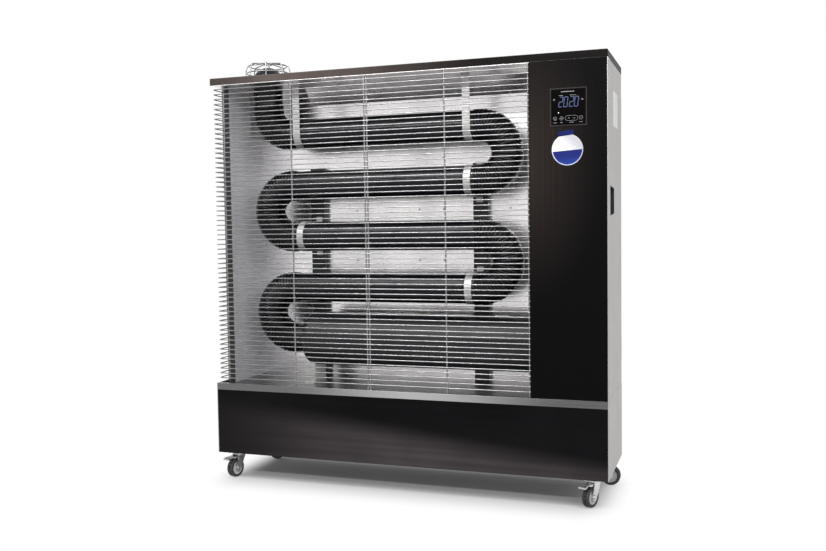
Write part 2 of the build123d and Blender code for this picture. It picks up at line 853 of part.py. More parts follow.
with BuildPart() as pipe_clamps:
    for centre, height in ((right_clamp, axis_2), (left_clamp, axis_3), (right_clamp, axis_4)):
        with BuildSketch(Plane.YZ.offset(centre - clamp_width / 2)):
            with Locations((0, height)):
                Circle(strap_outer)
            with Locations((rail_front / 2, height)):
                Rectangle(rail_front, 2 * strap_outer)
            with Locations((rail_front - strap_thickness / 2, height)):
                Rectangle(strap_thickness, 2 * strap_outer + 26)
            with Locations((0, height)):
                Circle(strap_inner, mode=Mode.SUBTRACT)
            with Locations((rail_front / 2 + 5, height)):
                Rectangle(rail_front + 10, 2 * strap_inner, mode=Mode.SUBTRACT)
        extrude(amount=clamp_width)
pipe_clamps.part.label = "pipe_clamps"
export_step(pipe_clamps.part, "parts/pipe_clamps.step")

cradle_inner = chamber_radius + strap_gap
cradle_outer = cradle_inner + bracket_sheet
leg_outer = bracket_spread + bracket_sheet
cradle_edge = chamber_axis - sqrt(cradle_inner**2 - bracket_spread**2)
with BuildPart() as chamber_bracket:
    with BuildSketch(Plane.YZ.offset(bracket_left)):
        with Locations((0, (deck_top + cradle_edge) / 2)):
            Rectangle(2 * leg_outer, cradle_edge - deck_top)
            Rectangle(2 * bracket_spread, cradle_edge - deck_top, mode=Mode.SUBTRACT)
        with BuildSketch(mode=Mode.PRIVATE) as cradle:
            with Locations((0, chamber_axis)):
                Circle(cradle_outer)
                Circle(cradle_inner, mode=Mode.SUBTRACT)
            with Locations((0, chamber_axis - cradle_outer)):
                Rectangle(2 * leg_outer, 2 * cradle_outer - 20, mode=Mode.INTERSECT)
        add(cradle.sketch)
        with Locations((-leg_outer - 6, deck_top + 1), (leg_outer + 6, deck_top + 1)):
            Rectangle(14, bracket_sheet)
    extrude(amount=bracket_width)
chamber_bracket.part.label = "chamber_bracket"
export_step(chamber_bracket.part, "parts/chamber_bracket.step")

# Guard: parallel wires bent round the left corner, welded to uprights behind them
guard_front = front + guard_inset_front
guard_left = left + guard_inset_left
wire_pitch = (highest_wire_height - lowest_wire_height) / (wire_count - 1)
with BuildPart() as single_wire:
    with BuildLine() as wire_path:
        FilletPolyline(
            (bay_right, guard_front),
            (guard_left, guard_front),
            (guard_left, side_panel_front),
            radius=guard_bend_radius,
        )
    with BuildSketch(Plane(origin=(bay_right, guard_front, 0), x_dir=(0, 1, 0), z_dir=(-1, 0, 0))):
        RegularPolygon(wire_diameter / 2, wire_flats, major_radius=False, rotation=30)
    sweep(path=wire_path.line)

with BuildPart() as guard_wires:
    with Locations(*[(0, 0, lowest_wire_height + wire_pitch * row) for row in range(wire_count)]):
        add(single_wire.part)
guard_wires.part.label = "guard_wires"
export_step(guard_wires.part, "parts/guard_wires.step")

upright_y = guard_front + wire_diameter / 2 + upright_radius
return_upright_x = guard_left + wire_diameter / 2 + upright_radius
with BuildPart() as guard_uprights:
    for upright_x in upright_positions:
        rod((upright_x, upright_y, base_top), (upright_x, upright_y, liner_bottom), upright_radius)
    rod(
        (return_upright_x, return_upright_depth, deck_top),
        (return_upright_x, return_upright_depth, liner_bottom),
        upright_radius,
    )
guard_uprights.part.label = "guard_uprights"
export_step(guard_uprights.part, "parts/guard_uprights.step")

# Burner: housing bolted to the chamber, blower housing, impeller and motor
burner_flange_end = chamber_end + flange_thickness
scroll_start = chamber_end + burner_length
scroll_end = scroll_start + scroll_width
with BuildPart() as burner_housing:
    rod((chamber_end, 0, chamber_axis), (burner_flange_end, 0, chamber_axis), flange_radius)
    rod((burner_flange_end, 0, chamber_axis), (scroll_start, 0, chamber_axis), burner_radius)
    rod(
        (chamber_end, 0, chamber_axis), (scroll_start, 0, chamber_axis), burner_radius - sheet, Mode.SUBTRACT
    )
    with BuildSketch(Plane.YZ.offset(burner_flange_end)):
        with Locations((0, chamber_axis)):
            with PolarLocations((flange_radius + burner_radius) / 2, 6, start_angle=30):
                RegularPolygon(4, 6)
    extrude(amount=3)
burner_housing.part.label = "burner_housing"
export_step(burner_housing.part, "parts/burner_housing.step")

with BuildPart() as fan_scroll:
    rod((scroll_start, 0, chamber_axis), (scroll_end, 0, chamber_axis), scroll_radius)
    rod(
        (scroll_start + sheet, 0, chamber_axis),
        (scroll_end - sheet, 0, chamber_axis),
        scroll_radius - sheet,
        Mode.SUBTRACT,
    )
    rod(
        (scroll_start, 0, chamber_axis),
        (scroll_start + sheet, 0, chamber_axis),
        burner_radius - 12,
        Mode.SUBTRACT,
    )
    with BuildSketch(Plane.YZ.offset(scroll_end - sheet)):
        with Locations((0, chamber_axis)):
            Circle(motor_shaft_radius + 2)
            with PolarLocations((scroll_radius + motor_radius) / 2, 8):
                Circle(8)
    extrude(amount=sheet, mode=Mode.SUBTRACT)
fan_scroll.part.label = "fan_scroll"
export_step(fan_scroll.part, "parts/fan_scroll.step")

impeller_start = scroll_start + 10
impeller_end = scroll_end - 10
with BuildPart() as burner_fan:
    rod((impeller_end - 2, 0, chamber_axis), (impeller_end, 0, chamber_axis), impeller_radius)
    rod((impeller_start + 8, 0, chamber_axis), (impeller_end, 0, chamber_axis), 9)
    with BuildSketch(Plane.YZ.offset(impeller_start)):
        with Locations((0, chamber_axis)):
            with PolarLocations(impeller_radius - 11, impeller_blades):
                Rectangle(20, 1.6, rotation=30)
    extrude(amount=impeller_end - impeller_start - 1)
    with BuildSketch(Plane.YZ.offset(impeller_start)):
        with Locations((0, chamber_axis)):
            Circle(impeller_radius)
            Circle(impeller_radius - 8, mode=Mode.SUBTRACT)
    extrude(amount=2)
    rod(
        (impeller_start, 0, chamber_axis),
        (impeller_end, 0, chamber_axis),
        motor_shaft_radius + running_clearance,
        Mode.SUBTRACT,
    )
burner_fan.part.label = "burner_fan"
export_step(burner_fan.part, "parts/burner_fan.step")

with BuildPart() as fan_motor:
    rod((scroll_end, 0, chamber_axis), (scroll_end + motor_length, 0, chamber_axis), motor_radius)
    fillet(fan_motor.faces().sort_by(Axis.X)[-1].edges(), 5)
    rod((impeller_start + 12, 0, chamber_axis), (scroll_end, 0, chamber_axis), motor_shaft_radius)
fan_motor.part.label = "fan_motor"
export_step(fan_motor.part, "parts/fan_motor.step")

# Fuel system: filter on the partition, pump on the deck and the lines between them
filter_bottom = deck_top + 25
filter_top = filter_bottom + filter_height
pump_top = deck_top + pump_height
with BuildPart() as fuel_filter:
    rod((filter_x, fuel_line_depth, filter_bottom), (filter_x, fuel_line_depth, filter_top), filter_radius)
    fillet(fuel_filter.edges().filter_by(GeomType.CIRCLE), 3)
    box_between(
        (burner_start, fuel_line_depth - 9, filter_bottom + 15),
        (filter_x - filter_radius + 4, fuel_line_depth + 9, filter_top - 15),
    )
fuel_filter.part.label = "fuel_filter"
export_step(fuel_filter.part, "parts/fuel_filter.step")

pump_y = fuel_line_depth + 7
with BuildPart() as fuel_pump:
    rod((pump_x, pump_y, deck_top), (pump_x, pump_y, pump_top - 8), pump_radius)
    rod((pump_x, pump_y, pump_top - 8), (pump_x, pump_y, pump_top), pump_radius - 4)
    box_between((pump_x - 24, pump_y - 10, deck_top), (pump_x + 24, pump_y + 10, deck_top + 2))
fuel_pump.part.label = "fuel_pump"
export_step(fuel_pump.part, "parts/fuel_pump.step")

outlet_y = pump_y + 7
nozzle_x = burner_flange_end + 19
with BuildPart() as fuel_line:
    rod((filter_x, fuel_line_depth, tank_top), (filter_x, fuel_line_depth, filter_bottom), fuel_line_radius)
    with BuildLine() as suction_path:
        FilletPolyline(
            (filter_x, fuel_line_depth, filter_top),
            (filter_x, fuel_line_depth, filter_top + 20),
            (pump_x, fuel_line_depth, filter_top + 20),
            (pump_x, fuel_line_depth, pump_top),
            radius=10,
        )
    with BuildSketch(Plane(origin=(filter_x, fuel_line_depth, filter_top), z_dir=(0, 0, 1))):
        Circle(fuel_line_radius)
    sweep(path=suction_path.line)
    with BuildLine() as feed_path:
        FilletPolyline(
            (pump_x, outlet_y, pump_top),
            (pump_x, outlet_y, chamber_axis),
            (nozzle_x, outlet_y, chamber_axis),
            (nozzle_x, -burner_radius, chamber_axis),
            radius=9,
        )
    with BuildSketch(Plane(origin=(pump_x, outlet_y, pump_top), z_dir=(0, 0, 1))):
        Circle(fuel_line_radius)
    sweep(path=feed_path.line)
fuel_line.part.label = "fuel_line"
export_step(fuel_line.part, "parts/fuel_line.step")

# Electronics: control board behind the front panel and ignition transformer on the partition
board_front = front + 17
with BuildPart() as control_board:
    box_between(
        (panel_left - 20, board_front, panel_bottom - 54),
        (panel_right + 20, board_front + 1.6, panel_top + 23),
    )
    for corner_x in (panel_left - 13, panel_right + 13):
        for corner_z in (panel_bottom - 47, panel_top + 16):
            rod((corner_x, front + sheet, corner_z), (corner_x, board_front, corner_z), 3)
    box_between(
        (panel_left - 12, board_front + 1.6, panel_bottom - 40),
        (panel_left + 22, board_front + 28, panel_bottom - 10),
    )
    box_between(
        (panel_left + 34, board_front + 1.6, panel_bottom - 40),
        (panel_left + 52, board_front + 17, panel_bottom - 24),
    )
    box_between(
        (panel_left + 58, board_front + 1.6, panel_bottom - 40),
        (panel_left + 76, board_front + 17, panel_bottom - 24),
    )
    rod(
        (panel_left + 84, board_front + 1.6, panel_bottom - 30),
        (panel_left + 84, board_front + 24, panel_bottom - 30),
        7,
    )
    box_between(
        (panel_left + 10, board_front + 1.6, panel_bottom + 40),
        (panel_left + 40, board_front + 5, panel_bottom + 60),
    )
control_board.part.label = "control_board"
export_step(control_board.part, "parts/control_board.step")

with BuildPart() as ignition_transformer:
    box_between((burner_start, -40, axis_4), (burner_start + 60, 40, axis_4 + 60))
    rod((burner_start + 30, -20, axis_4 + 60), (burner_start + 30, -20, axis_4 + 78), 7)
    rod((burner_start + 30, 20, axis_4 + 60), (burner_start + 30, 20, axis_4 + 78), 7)
ignition_transformer.part.label = "ignition_transformer"
export_step(ignition_transformer.part, "parts/ignition_transformer.step")

# Control panel: bezel, glossy window and five keys through it
bezel_front = front - 1.2
window_front = front - 0.9
window_back = window_front + 2
with BuildPart() as panel_bezel:
    box_between((panel_left, bezel_front, panel_bottom), (panel_right, front, panel_top))
    box_between(
        (panel_left + 1.5, front, panel_bottom + 1.5), (panel_right - 1.5, front + panel_depth, panel_top - 1.5)
    )
    box_between(
        (panel_left + panel_border, bezel_front, panel_bottom + panel_border),
        (panel_right - panel_border, front + panel_depth - sheet, panel_top - panel_border),
        Mode.SUBTRACT,
    )
panel_bezel.part.label = "panel_bezel"
export_step(panel_bezel.part, "parts/panel_bezel.step")

key_offsets = (
    ("key_power", power_key_offset),
    ("key_mode", mode_key_offset),
    ("key_up", up_key_offset),
    ("key_down", down_key_offset),
    ("key_timer", timer_key_offset),
)
with BuildPart() as display_window:
    box_between(
        (panel_left + panel_border, window_front, panel_bottom + panel_border),
        (panel_right - panel_border, window_back, panel_top - panel_border),
    )
    for name, offset_x in key_offsets:
        rod(
            (panel_centre_x + offset_x, window_front, key_row_height),
            (panel_centre_x + offset_x, window_back, key_row_height),
            key_radius + key_gap,
            Mode.SUBTRACT,
        )
display_window.part.label = "display_window"
export_step(display_window.part, "parts/display_window.step")

for name, offset_x in key_offsets:
    with BuildPart() as key:
        rod(
            (panel_centre_x + offset_x, window_front - 0.2, key_row_height),
            (panel_centre_x + offset_x, window_back + 1.2, key_row_height),
            key_radius,
        )
        rod(
            (panel_centre_x + offset_x, window_back + 0.2, key_row_height),
            (panel_centre_x + offset_x, window_back + 1.2, key_row_height),
            key_radius + 1,
        )
    key.part.label = name
    export_step(key.part, f"parts/{name}.step")

# Casters: fixed plates with kingpins, then a fork, a wheel and, in front, a brake pedal for each
wheel_radius = wheel_diameter / 2
caster_x = right - caster_inset
caster_y = back - caster_inset
plate_bottom = caster_height - caster_plate_thickness
cup_bottom = caster_head_height + 2.5
with BuildPart() as caster_plates:
    with BuildSketch(Plane.XY.offset(plate_bottom)):
        with GridLocations(2 * caster_x, 2 * caster_y, 2, 2):
            RectangleRounded(caster_plate_width, caster_plate_length, 5)
    extrude(amount=caster_plate_thickness)
    with BuildSketch(Plane.XY.offset(cup_bottom)):
        with GridLocations(2 * caster_x, 2 * caster_y, 2, 2):
            Circle(caster_cup_radius)
    extrude(amount=plate_bottom - cup_bottom)
    with BuildSketch(Plane.XY.offset(plate_bottom - 2.5)):
        with GridLocations(2 * caster_x, 2 * caster_y, 2, 2):
            with GridLocations(caster_plate_width - 14, caster_plate_length - 14, 2, 2):
                RegularPolygon(4, 6)
    extrude(amount=2.5)
    with BuildSketch(Plane.XY.offset(caster_head_height - 2.5)):
        with GridLocations(2 * caster_x, 2 * caster_y, 2, 2):
            Circle(kingpin_radius)
    extrude(amount=cup_bottom - caster_head_height + 2.5)
    with BuildSketch(Plane.XY.offset(caster_head_height - 2.5)):
        with GridLocations(2 * caster_x, 2 * caster_y, 2, 2):
            Circle(kingpin_radius + 2.5)
    extrude(amount=2.2)
caster_plates.part.label = "caster_plates"
export_step(caster_plates.part, "parts/caster_plates.step")

pivot_along = 10.0
pivot_height = 54.6
pedal_top = 57.2
pedal_sheet = 1.5
head_sheet = 2.2
for corner, side_x, side_y, heading in (
    ("fl", -1, -1, 257),
    ("fr", 1, -1, 246),
    ("rl", -1, 1, 0),
    ("rr", 1, 1, 0),
):
    swivel = Plane(
        origin=(side_x * caster_x, side_y * caster_y, 0),
        x_dir=(cos(radians(heading)), sin(radians(heading)), 0),
        z_dir=(0, 0, 1),
    )
    cheek_plane = Plane(origin=swivel.origin, x_dir=swivel.x_dir, z_dir=-swivel.y_dir)
    half_fork = fork_gap / 2 + fork_thickness

    with BuildPart() as fork:
        with BuildSketch(swivel.offset(caster_head_height)):
            Circle(caster_head_radius)
        extrude(amount=head_sheet)
        for start in (fork_gap / 2, -half_fork):
            with BuildSketch(cheek_plane.offset(start)):
                with Locations((caster_trail, wheel_radius)):
                    Circle(9)
                with Locations((0, caster_head_height + 1)):
                    Rectangle(26, 2)
                make_hull()
            extrude(amount=fork_thickness)
        with BuildSketch(swivel.offset(caster_head_height - 1)):
            Circle(kingpin_radius + running_clearance)
        extrude(amount=5, mode=Mode.SUBTRACT)
        rod(
            swivel.from_local_coords((caster_trail, -half_fork - 3, wheel_radius)),
            swivel.from_local_coords((caster_trail, half_fork + 3, wheel_radius)),
            axle_radius,
        )
        for start in (-half_fork - 3, half_fork):
            rod(
                swivel.from_local_coords((caster_trail, start, wheel_radius)),
                swivel.from_local_coords((caster_trail, start + 3, wheel_radius)),
                axle_radius + 2,
            )
        if side_y < 0:
            rod(
                swivel.from_local_coords((pivot_along, -half_fork, pivot_height)),
                swivel.from_local_coords((pivot_along, half_fork, pivot_height)),
                2,
            )
    fork.part.label = f"caster_fork_{corner}"
    export_step(fork.part, f"parts/caster_fork_{corner}.step")

    with BuildPart() as wheel:
        with BuildSketch(cheek_plane.offset(-wheel_width / 2)):
            with Locations((caster_trail, wheel_radius)):
                Circle(wheel_radius)
        extrude(amount=wheel_width)
        fillet(wheel.edges().filter_by(GeomType.CIRCLE), 3)
        for start in (-wheel_width / 2, wheel_width / 2 - 1.5):
            with BuildSketch(cheek_plane.offset(start)):
                with Locations((caster_trail, wheel_radius)):
                    Circle(wheel_radius - 7.5)
            extrude(amount=1.5, mode=Mode.SUBTRACT)
        with BuildSketch(cheek_plane.offset(-fork_gap / 2 + 0.3)):
            with Locations((caster_trail, wheel_radius)):
                Circle(7)
        extrude(amount=fork_gap - 0.6)
        with BuildSketch(cheek_plane.offset(-fork_gap / 2)):
            with Locations((caster_trail, wheel_radius)):
                Circle(axle_radius + running_clearance)
        extrude(amount=fork_gap, mode=Mode.SUBTRACT)
    wheel.part.label = f"caster_wheel_{corner}"
    export_step(wheel.part, f"parts/caster_wheel_{corner}.step")

    if side_y < 0:
        with BuildPart() as lever:
            with BuildSketch(cheek_plane.offset(0.5 - fork_gap / 2)):
                with Locations((pivot_along, pivot_height)):
                    Circle(3.2)
                with BuildLine():
                    Polyline(
                        (pivot_along - 1, pedal_top - pedal_sheet),
                        (pivot_along - 1, pedal_top),
                        (pedal_reach - 9, pedal_top),
                        (pedal_reach, pedal_top - 3),
                        (pedal_reach, pedal_top - 6.5),
                        (pedal_reach - 8, pedal_top - 4),
                        (pedal_reach - 11, pedal_top - pedal_sheet),
                        (caster_trail + 11, pedal_top - pedal_sheet),
                        (caster_trail + 11, pedal_top - 5),
                        (caster_trail + 5, pedal_top - 5),
                        (caster_trail + 5, pedal_top - pedal_sheet),
                        close=True,
                    )
                make_face()
                with Locations((pivot_along, pivot_height)):
                    Circle(2 + running_clearance, mode=Mode.SUBTRACT)
            extrude(amount=fork_gap - 1)
        lever.part.label = f"brake_lever_{corner}"
        export_step(lever.part, f"parts/brake_lever_{corner}.step")
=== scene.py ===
import json
import math

import bmesh
import bpy
import numpy as np
from mathutils import Matrix, Vector


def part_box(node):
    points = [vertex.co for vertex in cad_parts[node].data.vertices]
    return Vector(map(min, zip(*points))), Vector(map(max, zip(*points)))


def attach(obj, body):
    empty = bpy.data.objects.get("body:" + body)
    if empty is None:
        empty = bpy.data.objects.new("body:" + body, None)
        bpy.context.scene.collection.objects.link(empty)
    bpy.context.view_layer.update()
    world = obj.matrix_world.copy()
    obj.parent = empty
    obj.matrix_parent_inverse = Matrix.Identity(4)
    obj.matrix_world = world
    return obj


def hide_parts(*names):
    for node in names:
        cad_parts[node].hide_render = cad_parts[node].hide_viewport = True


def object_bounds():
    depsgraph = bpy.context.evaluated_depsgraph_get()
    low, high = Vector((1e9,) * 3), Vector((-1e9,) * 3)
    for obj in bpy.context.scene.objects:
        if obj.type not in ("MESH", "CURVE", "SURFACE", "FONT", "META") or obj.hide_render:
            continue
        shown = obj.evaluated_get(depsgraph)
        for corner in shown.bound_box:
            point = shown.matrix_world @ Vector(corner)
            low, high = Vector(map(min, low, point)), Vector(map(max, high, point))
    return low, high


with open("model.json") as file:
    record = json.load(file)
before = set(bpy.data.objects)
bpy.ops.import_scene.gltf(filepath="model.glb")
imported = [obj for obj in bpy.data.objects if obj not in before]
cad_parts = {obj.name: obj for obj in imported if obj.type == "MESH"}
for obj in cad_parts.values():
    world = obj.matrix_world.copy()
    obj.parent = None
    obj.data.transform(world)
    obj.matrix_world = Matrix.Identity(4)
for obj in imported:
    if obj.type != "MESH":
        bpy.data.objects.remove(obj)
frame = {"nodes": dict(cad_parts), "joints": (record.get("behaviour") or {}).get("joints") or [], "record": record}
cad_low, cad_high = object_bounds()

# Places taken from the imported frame, in metres
mm = 0.001
nodes = frame["nodes"]
joint = {j["name"]: j for j in frame["joints"]}
wires_low, wires_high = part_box("guard_wires")
cage_low, cage_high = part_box("flue_cage")
rear_low, rear_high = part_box("rear_cover")
front_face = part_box("control_front_panel")[0].y
window_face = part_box("display_window")[0].y
liner_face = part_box("back_reflector")[0].y
door_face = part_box("side_door")[1].x
sheet_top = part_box("top_plate")[1].z

# Guard wires
wire_radius = 1.4 * mm
wire_count = 61
wire_bend = 8 * mm

# Pleated bends of the heating pipes
pipe_radius = 39 * mm
bend_radius = 69.3 * mm
crest_radius = 42 * mm
valley_radius = 39.4 * mm
collar_radius = 40 * mm
pleats_per_half_turn = 30
left_bend_x = -348 * mm
right_bend_x = 184 * mm
axis_heights = [925.8 * mm, 787.2 * mm, 648.6 * mm, 510.0 * mm, 371.4 * mm]
bend_lead = 16.1 * mm

# Flue cage
flue_x = left_bend_x - bend_radius
cage_wire = 1.5 * mm

# Casters
wheel_radius = 25 * mm
wheel_half_width = 9 * mm


# Meshes: every new piece is a grid of points worked out as whole arrays
def grid_faces(rows, columns, close_rows=False, close_columns=True):
    """Quads between neighbouring points of a rows by columns grid, wrapped round where a direction closes."""
    row = np.arange(rows if close_rows else rows - 1)
    column = np.arange(columns if close_columns else columns - 1)
    i, j = np.meshgrid(row, column, indexing="ij")
    i_next, j_next = (i + 1) % rows, (j + 1) % columns
    corners = [i * columns + j, i * columns + j_next, i_next * columns + j_next, i_next * columns + j]
    return np.stack(corners, axis=-1).reshape(-1, 4)


def make_piece(name, parts, material, body, sharp=40, replaced=()):
    """One mesh from several (points, faces) grids, with seams merged and faces turned outwards."""
    mesh = bpy.data.meshes.new(name)
    points, faces, start = [], [], 0
    for part_points, part_faces in parts:
        points.append(part_points.reshape(-1, 3))
        faces.extend(tuple(int(k) + start for k in face) for face in part_faces)
        start += len(points[-1])
    mesh.from_pydata(np.concatenate(points).tolist(), [], faces)
    shell = bmesh.new()
    shell.from_mesh(mesh)
    bmesh.ops.remove_doubles(shell, verts=shell.verts, dist=1e-7)
    bmesh.ops.dissolve_degenerate(shell, edges=shell.edges, dist=1e-8)
    bmesh.ops.recalc_face_normals(shell, faces=shell.faces)
    shell.to_mesh(mesh)
    shell.free()
    mesh.shade_smooth()
    mesh.set_sharp_from_angle(angle=math.radians(sharp))
    mesh.materials.append(material)
    piece = bpy.data.objects.new(name, mesh)
    bpy.context.scene.collection.objects.link(piece)
    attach(piece, body)
    if replaced:
        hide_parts(*replaced)
    return piece


def unit(vectors):
    """Each vector divided by its length."""
    return vectors / np.linalg.norm(vectors, axis=-1, keepdims=True)


def rounded_path(corners, radius, steps=8):
    """A run of straight lines whose inner corners are arcs of the radius, tangent to both lines."""
    corners = [np.array(c, float) for c in corners]
    path = [corners[0]]
    for before, corner, after in zip(corners, corners[1:], corners[2:]):
        back, ahead = unit(before - corner), unit(after - corner)
        half = math.acos(float(np.clip(back @ ahead, -1, 1))) / 2
        centre = corner + unit(back + ahead) * radius / math.sin(half)
        start = corner + back * radius / math.tan(half) - centre
        end = corner + ahead * radius / math.tan(half) - centre
        turn = math.pi - 2 * half
        share = np.linspace(0, 1, steps + 1)[:, None]
        arc = np.sin((1 - share) * turn) * start + np.sin(share * turn) * end
        path.extend(centre + arc / math.sin(turn))
    path.append(corners[-1])
    return np.array(path)


def ring_path(centre, radius, steps, axis="z"):
    """Points evenly round a circle about the axis: centre + radius * (cos, sin)."""
    angle = np.linspace(0, 2 * math.pi, steps, endpoint=False)
    circle = np.zeros((steps, 3))
    first, second = {"z": (0, 1), "y": (0, 2), "x": (1, 2)}[axis]
    circle[:, first], circle[:, second] = np.cos(angle), np.sin(angle)
    return np.array(centre) + radius * circle


def tube(path, radius, sides, up, closed=False, flat=None):
    """An ellipse carried along a path: point + cos t * radius * side + sin t * flat * rise.

    Side is square to the path and to the up direction, rise is square to both, and flat is the radius
    unless the section is flattened. Open ends are closed to their middle point.
    """
    path = np.array(path, float)
    if closed:
        tangent = unit(np.roll(path, -1, axis=0) - np.roll(path, 1, axis=0))
    else:
        tangent = unit(np.gradient(path, axis=0))
    side = unit(np.cross(tangent, np.array(up, float)))
    rise = np.cross(side, tangent)
    angle = np.linspace(0, 2 * math.pi, sides, endpoint=False)[None, :, None]
    ring = np.cos(angle) * radius * side[:, None] + np.sin(angle) * (flat or radius) * rise[:, None]
    points = path[:, None] + ring
    if not closed:
        first = np.repeat(path[:1, None], sides, axis=1)
        last = np.repeat(path[-1:, None], sides, axis=1)
        points = np.concatenate([first, points, last])
    return points, grid_faces(len(points), sides, close_rows=closed)


def lathe(profile, origin, axis, sides=48):
    """A profile of (distance from the axis, height along it) points turned once round the axis."""
    axis = unit(np.array(axis, float))
    helper = np.array([0.0, 0.0, 1.0]) if abs(axis[2]) < 0.9 else np.array([1.0, 0.0, 0.0])
    side = unit(np.cross(helper, axis))
    other = np.cross(axis, side)
    angle = np.linspace(0, 2 * math.pi, sides, endpoint=False)[None, :, None]
    around = np.cos(angle) * side + np.sin(angle) * other
    profile = np.array(profile, float)
    points = np.array(origin) + profile[:, 0, None, None] * around + profile[:, 1, None, None] * axis
    return points, grid_faces(len(profile), sides)


def plate(outline, place, normal, thickness, bevel):
    """A flat plate over a convex outline: the outline at the back, again near the front, drawn in by the
    bevel at the front face, and closed to its middle. Place turns the outline's two numbers into space."""
    outline = np.array(outline, float)
    middle = outline.mean(axis=0)
    inward = unit(middle - outline)
    normal = np.array(normal, float)
    levels = [
        (np.repeat(middle[None], len(outline), axis=0), 0.0),
        (outline, 0.0),
        (outline, thickness - bevel),
        (outline + inward * bevel, thickness),
        (np.repeat(middle[None], len(outline), axis=0), thickness),
    ]
    points = np.array([place(ring) + normal * height for ring, height in levels])
    return points, grid_faces(len(levels), len(outline))


def on_front(y):
    """Turns (x, z) points into space on the plane at depth y."""
    return lambda ring: np.stack([ring[:, 0], np.full(len(ring), y), ring[:, 1]], axis=-1)


def on_side(x):
    """Turns (y, z) points into space on the plane at x."""
    return lambda ring: np.stack([np.full(len(ring), x), ring[:, 0], ring[:, 1]], axis=-1)


def rounded_rectangle(low, high, radius, steps=6):
    """Corner arcs of a rectangle between two (u, v) corners, joined in order."""
    (u0, v0), (u1, v1) = low, high
    corners = [(u1 - radius, v1 - radius, 0), (u0 + radius, v1 - radius, 90),
               (u0 + radius, v0 + radius, 180), (u1 - radius, v0 + radius, 270)]
    angle = np.radians(np.linspace(0, 90, steps + 1))
    arcs = []
    for u, v, turn in corners:
        around = angle + math.radians(turn)
        arcs.append(np.stack([u + radius * np.cos(around), v + radius * np.sin(around)], axis=-1))
    return np.concatenate(arcs)


# Node trees: a material is a Principled shader fed by shared groups
def add_node(tree, kind, inputs=None, **settings):
    """A node of a kind with its settings, whose inputs are values or links from other sockets."""
    node = tree.nodes.new(kind)
    for key, value in settings.items():
        setattr(node, key, value)
    for key, value in (inputs or {}).items():
        if isinstance(value, bpy.types.NodeSocket):
            tree.links.new(value, node.inputs[key])
        else:
            node.inputs[key].default_value = value
    return node


def new_group(name, inputs, outputs):
    """An empty shader group with named inputs (kind and default) and outputs."""
    group = bpy.data.node_groups.new(name, "ShaderNodeTree")
    for label, (kind, value) in inputs.items():
        socket = group.interface.new_socket(label, in_out="INPUT", socket_type=kind)
        socket.default_value = value
    for label, kind in outputs.items():
        group.interface.new_socket(label, in_out="OUTPUT", socket_type=kind)
    return group, group.nodes.new("NodeGroupInput"), group.nodes.new("NodeGroupOutput")


def remap(tree, value, low, high, to_low=0.0, to_high=1.0):
    """A value carried from one range to another with a smooth step."""
    node = add_node(
        tree,
        "ShaderNodeMapRange",
        {"Value": value, "From Min": low, "From Max": high, "To Min": to_low, "To Max": to_high},
        interpolation_type="SMOOTHSTEP",
    )
    return node.outputs["Result"]


def maths(tree, operation, first, second=0.0):
    """One arithmetic step between two values or sockets."""
    return add_node(tree, "ShaderNodeMath", {0: first, 1: second}, operation=operation).outputs[0]


def vector_maths(tree, operation, first, second=(0, 0, 0)):
    """One step between two vectors. A length or a dot product comes back as a value."""
    node = add_node(tree, "ShaderNodeVectorMath", {0: first, 1: second}, operation=operation)
    return node.outputs["Value" if operation in ("LENGTH", "DOT_PRODUCT") else "Vector"]


def object_place(tree):
    """The place of the shaded point in the piece's own coordinates, in metres."""
    return add_node(tree, "ShaderNodeTexCoord").outputs["Object"]


def noise(tree, where, scale, detail, distortion=0.0):
    """Smooth noise from 0 to 1, with about scale waves in a metre."""
    inputs = {"Vector": where, "Scale": scale, "Detail": detail, "Distortion": distortion}
    return add_node(tree, "ShaderNodeTexNoise", inputs).outputs["Fac"]


def seen_directly(tree):
    """1 for rays from the camera, from a mirror or through glass, and 0 for all others."""
    path = add_node(tree, "ShaderNodeLightPath")
    seen = maths(tree, "MAXIMUM", path.outputs["Is Camera Ray"], path.outputs["Is Glossy Ray"])
    return maths(tree, "MAXIMUM", seen, path.outputs["Is Transmission Ray"])


def build_grain_group():
    """Fine streaks: noise on coordinates stretched along the brushing, as a mask from 0 to 1."""
    group, given, out = new_group(
        "brushed_grain",
        {"Stretch": ("NodeSocketVector", (1, 1, 1)), "Size": ("NodeSocketFloat", 900.0)},
        {"Streak": "NodeSocketFloat", "Fine": "NodeSocketFloat"},
    )
    scaled = vector_maths(group, "MULTIPLY", object_place(group), given.outputs["Stretch"])
    broad = noise(group, scaled, maths(group, "MULTIPLY", given.outputs["Size"], 0.12), 3.0)
    fine = noise(group, scaled, given.outputs["Size"], 2.0)
    group.links.new(remap(group, broad, 0.32, 0.68), out.inputs["Streak"])
    group.links.new(remap(group, fine, 0.25, 0.75), out.inputs["Fine"])
    return group


def build_cloud_group():
    """Slow unevenness of a painted or polished sheet, as a mask from 0 to 1 and a slow height."""
    group, given, out = new_group(
        "sheet_unevenness",
        {"Size": ("NodeSocketFloat", 6.0)},
        {"Cloud": "NodeSocketFloat", "Speck": "NodeSocketFloat"},
    )
    where = object_place(group)
    cloud = noise(group, where, given.outputs["Size"], 3.0, 0.4)
    speck = noise(group, where, maths(group, "MULTIPLY", given.outputs["Size"], 90.0), 2.0)
    group.links.new(remap(group, cloud, 0.3, 0.7), out.inputs["Cloud"])
    group.links.new(remap(group, speck, 0.62, 0.78), out.inputs["Speck"])
    return group


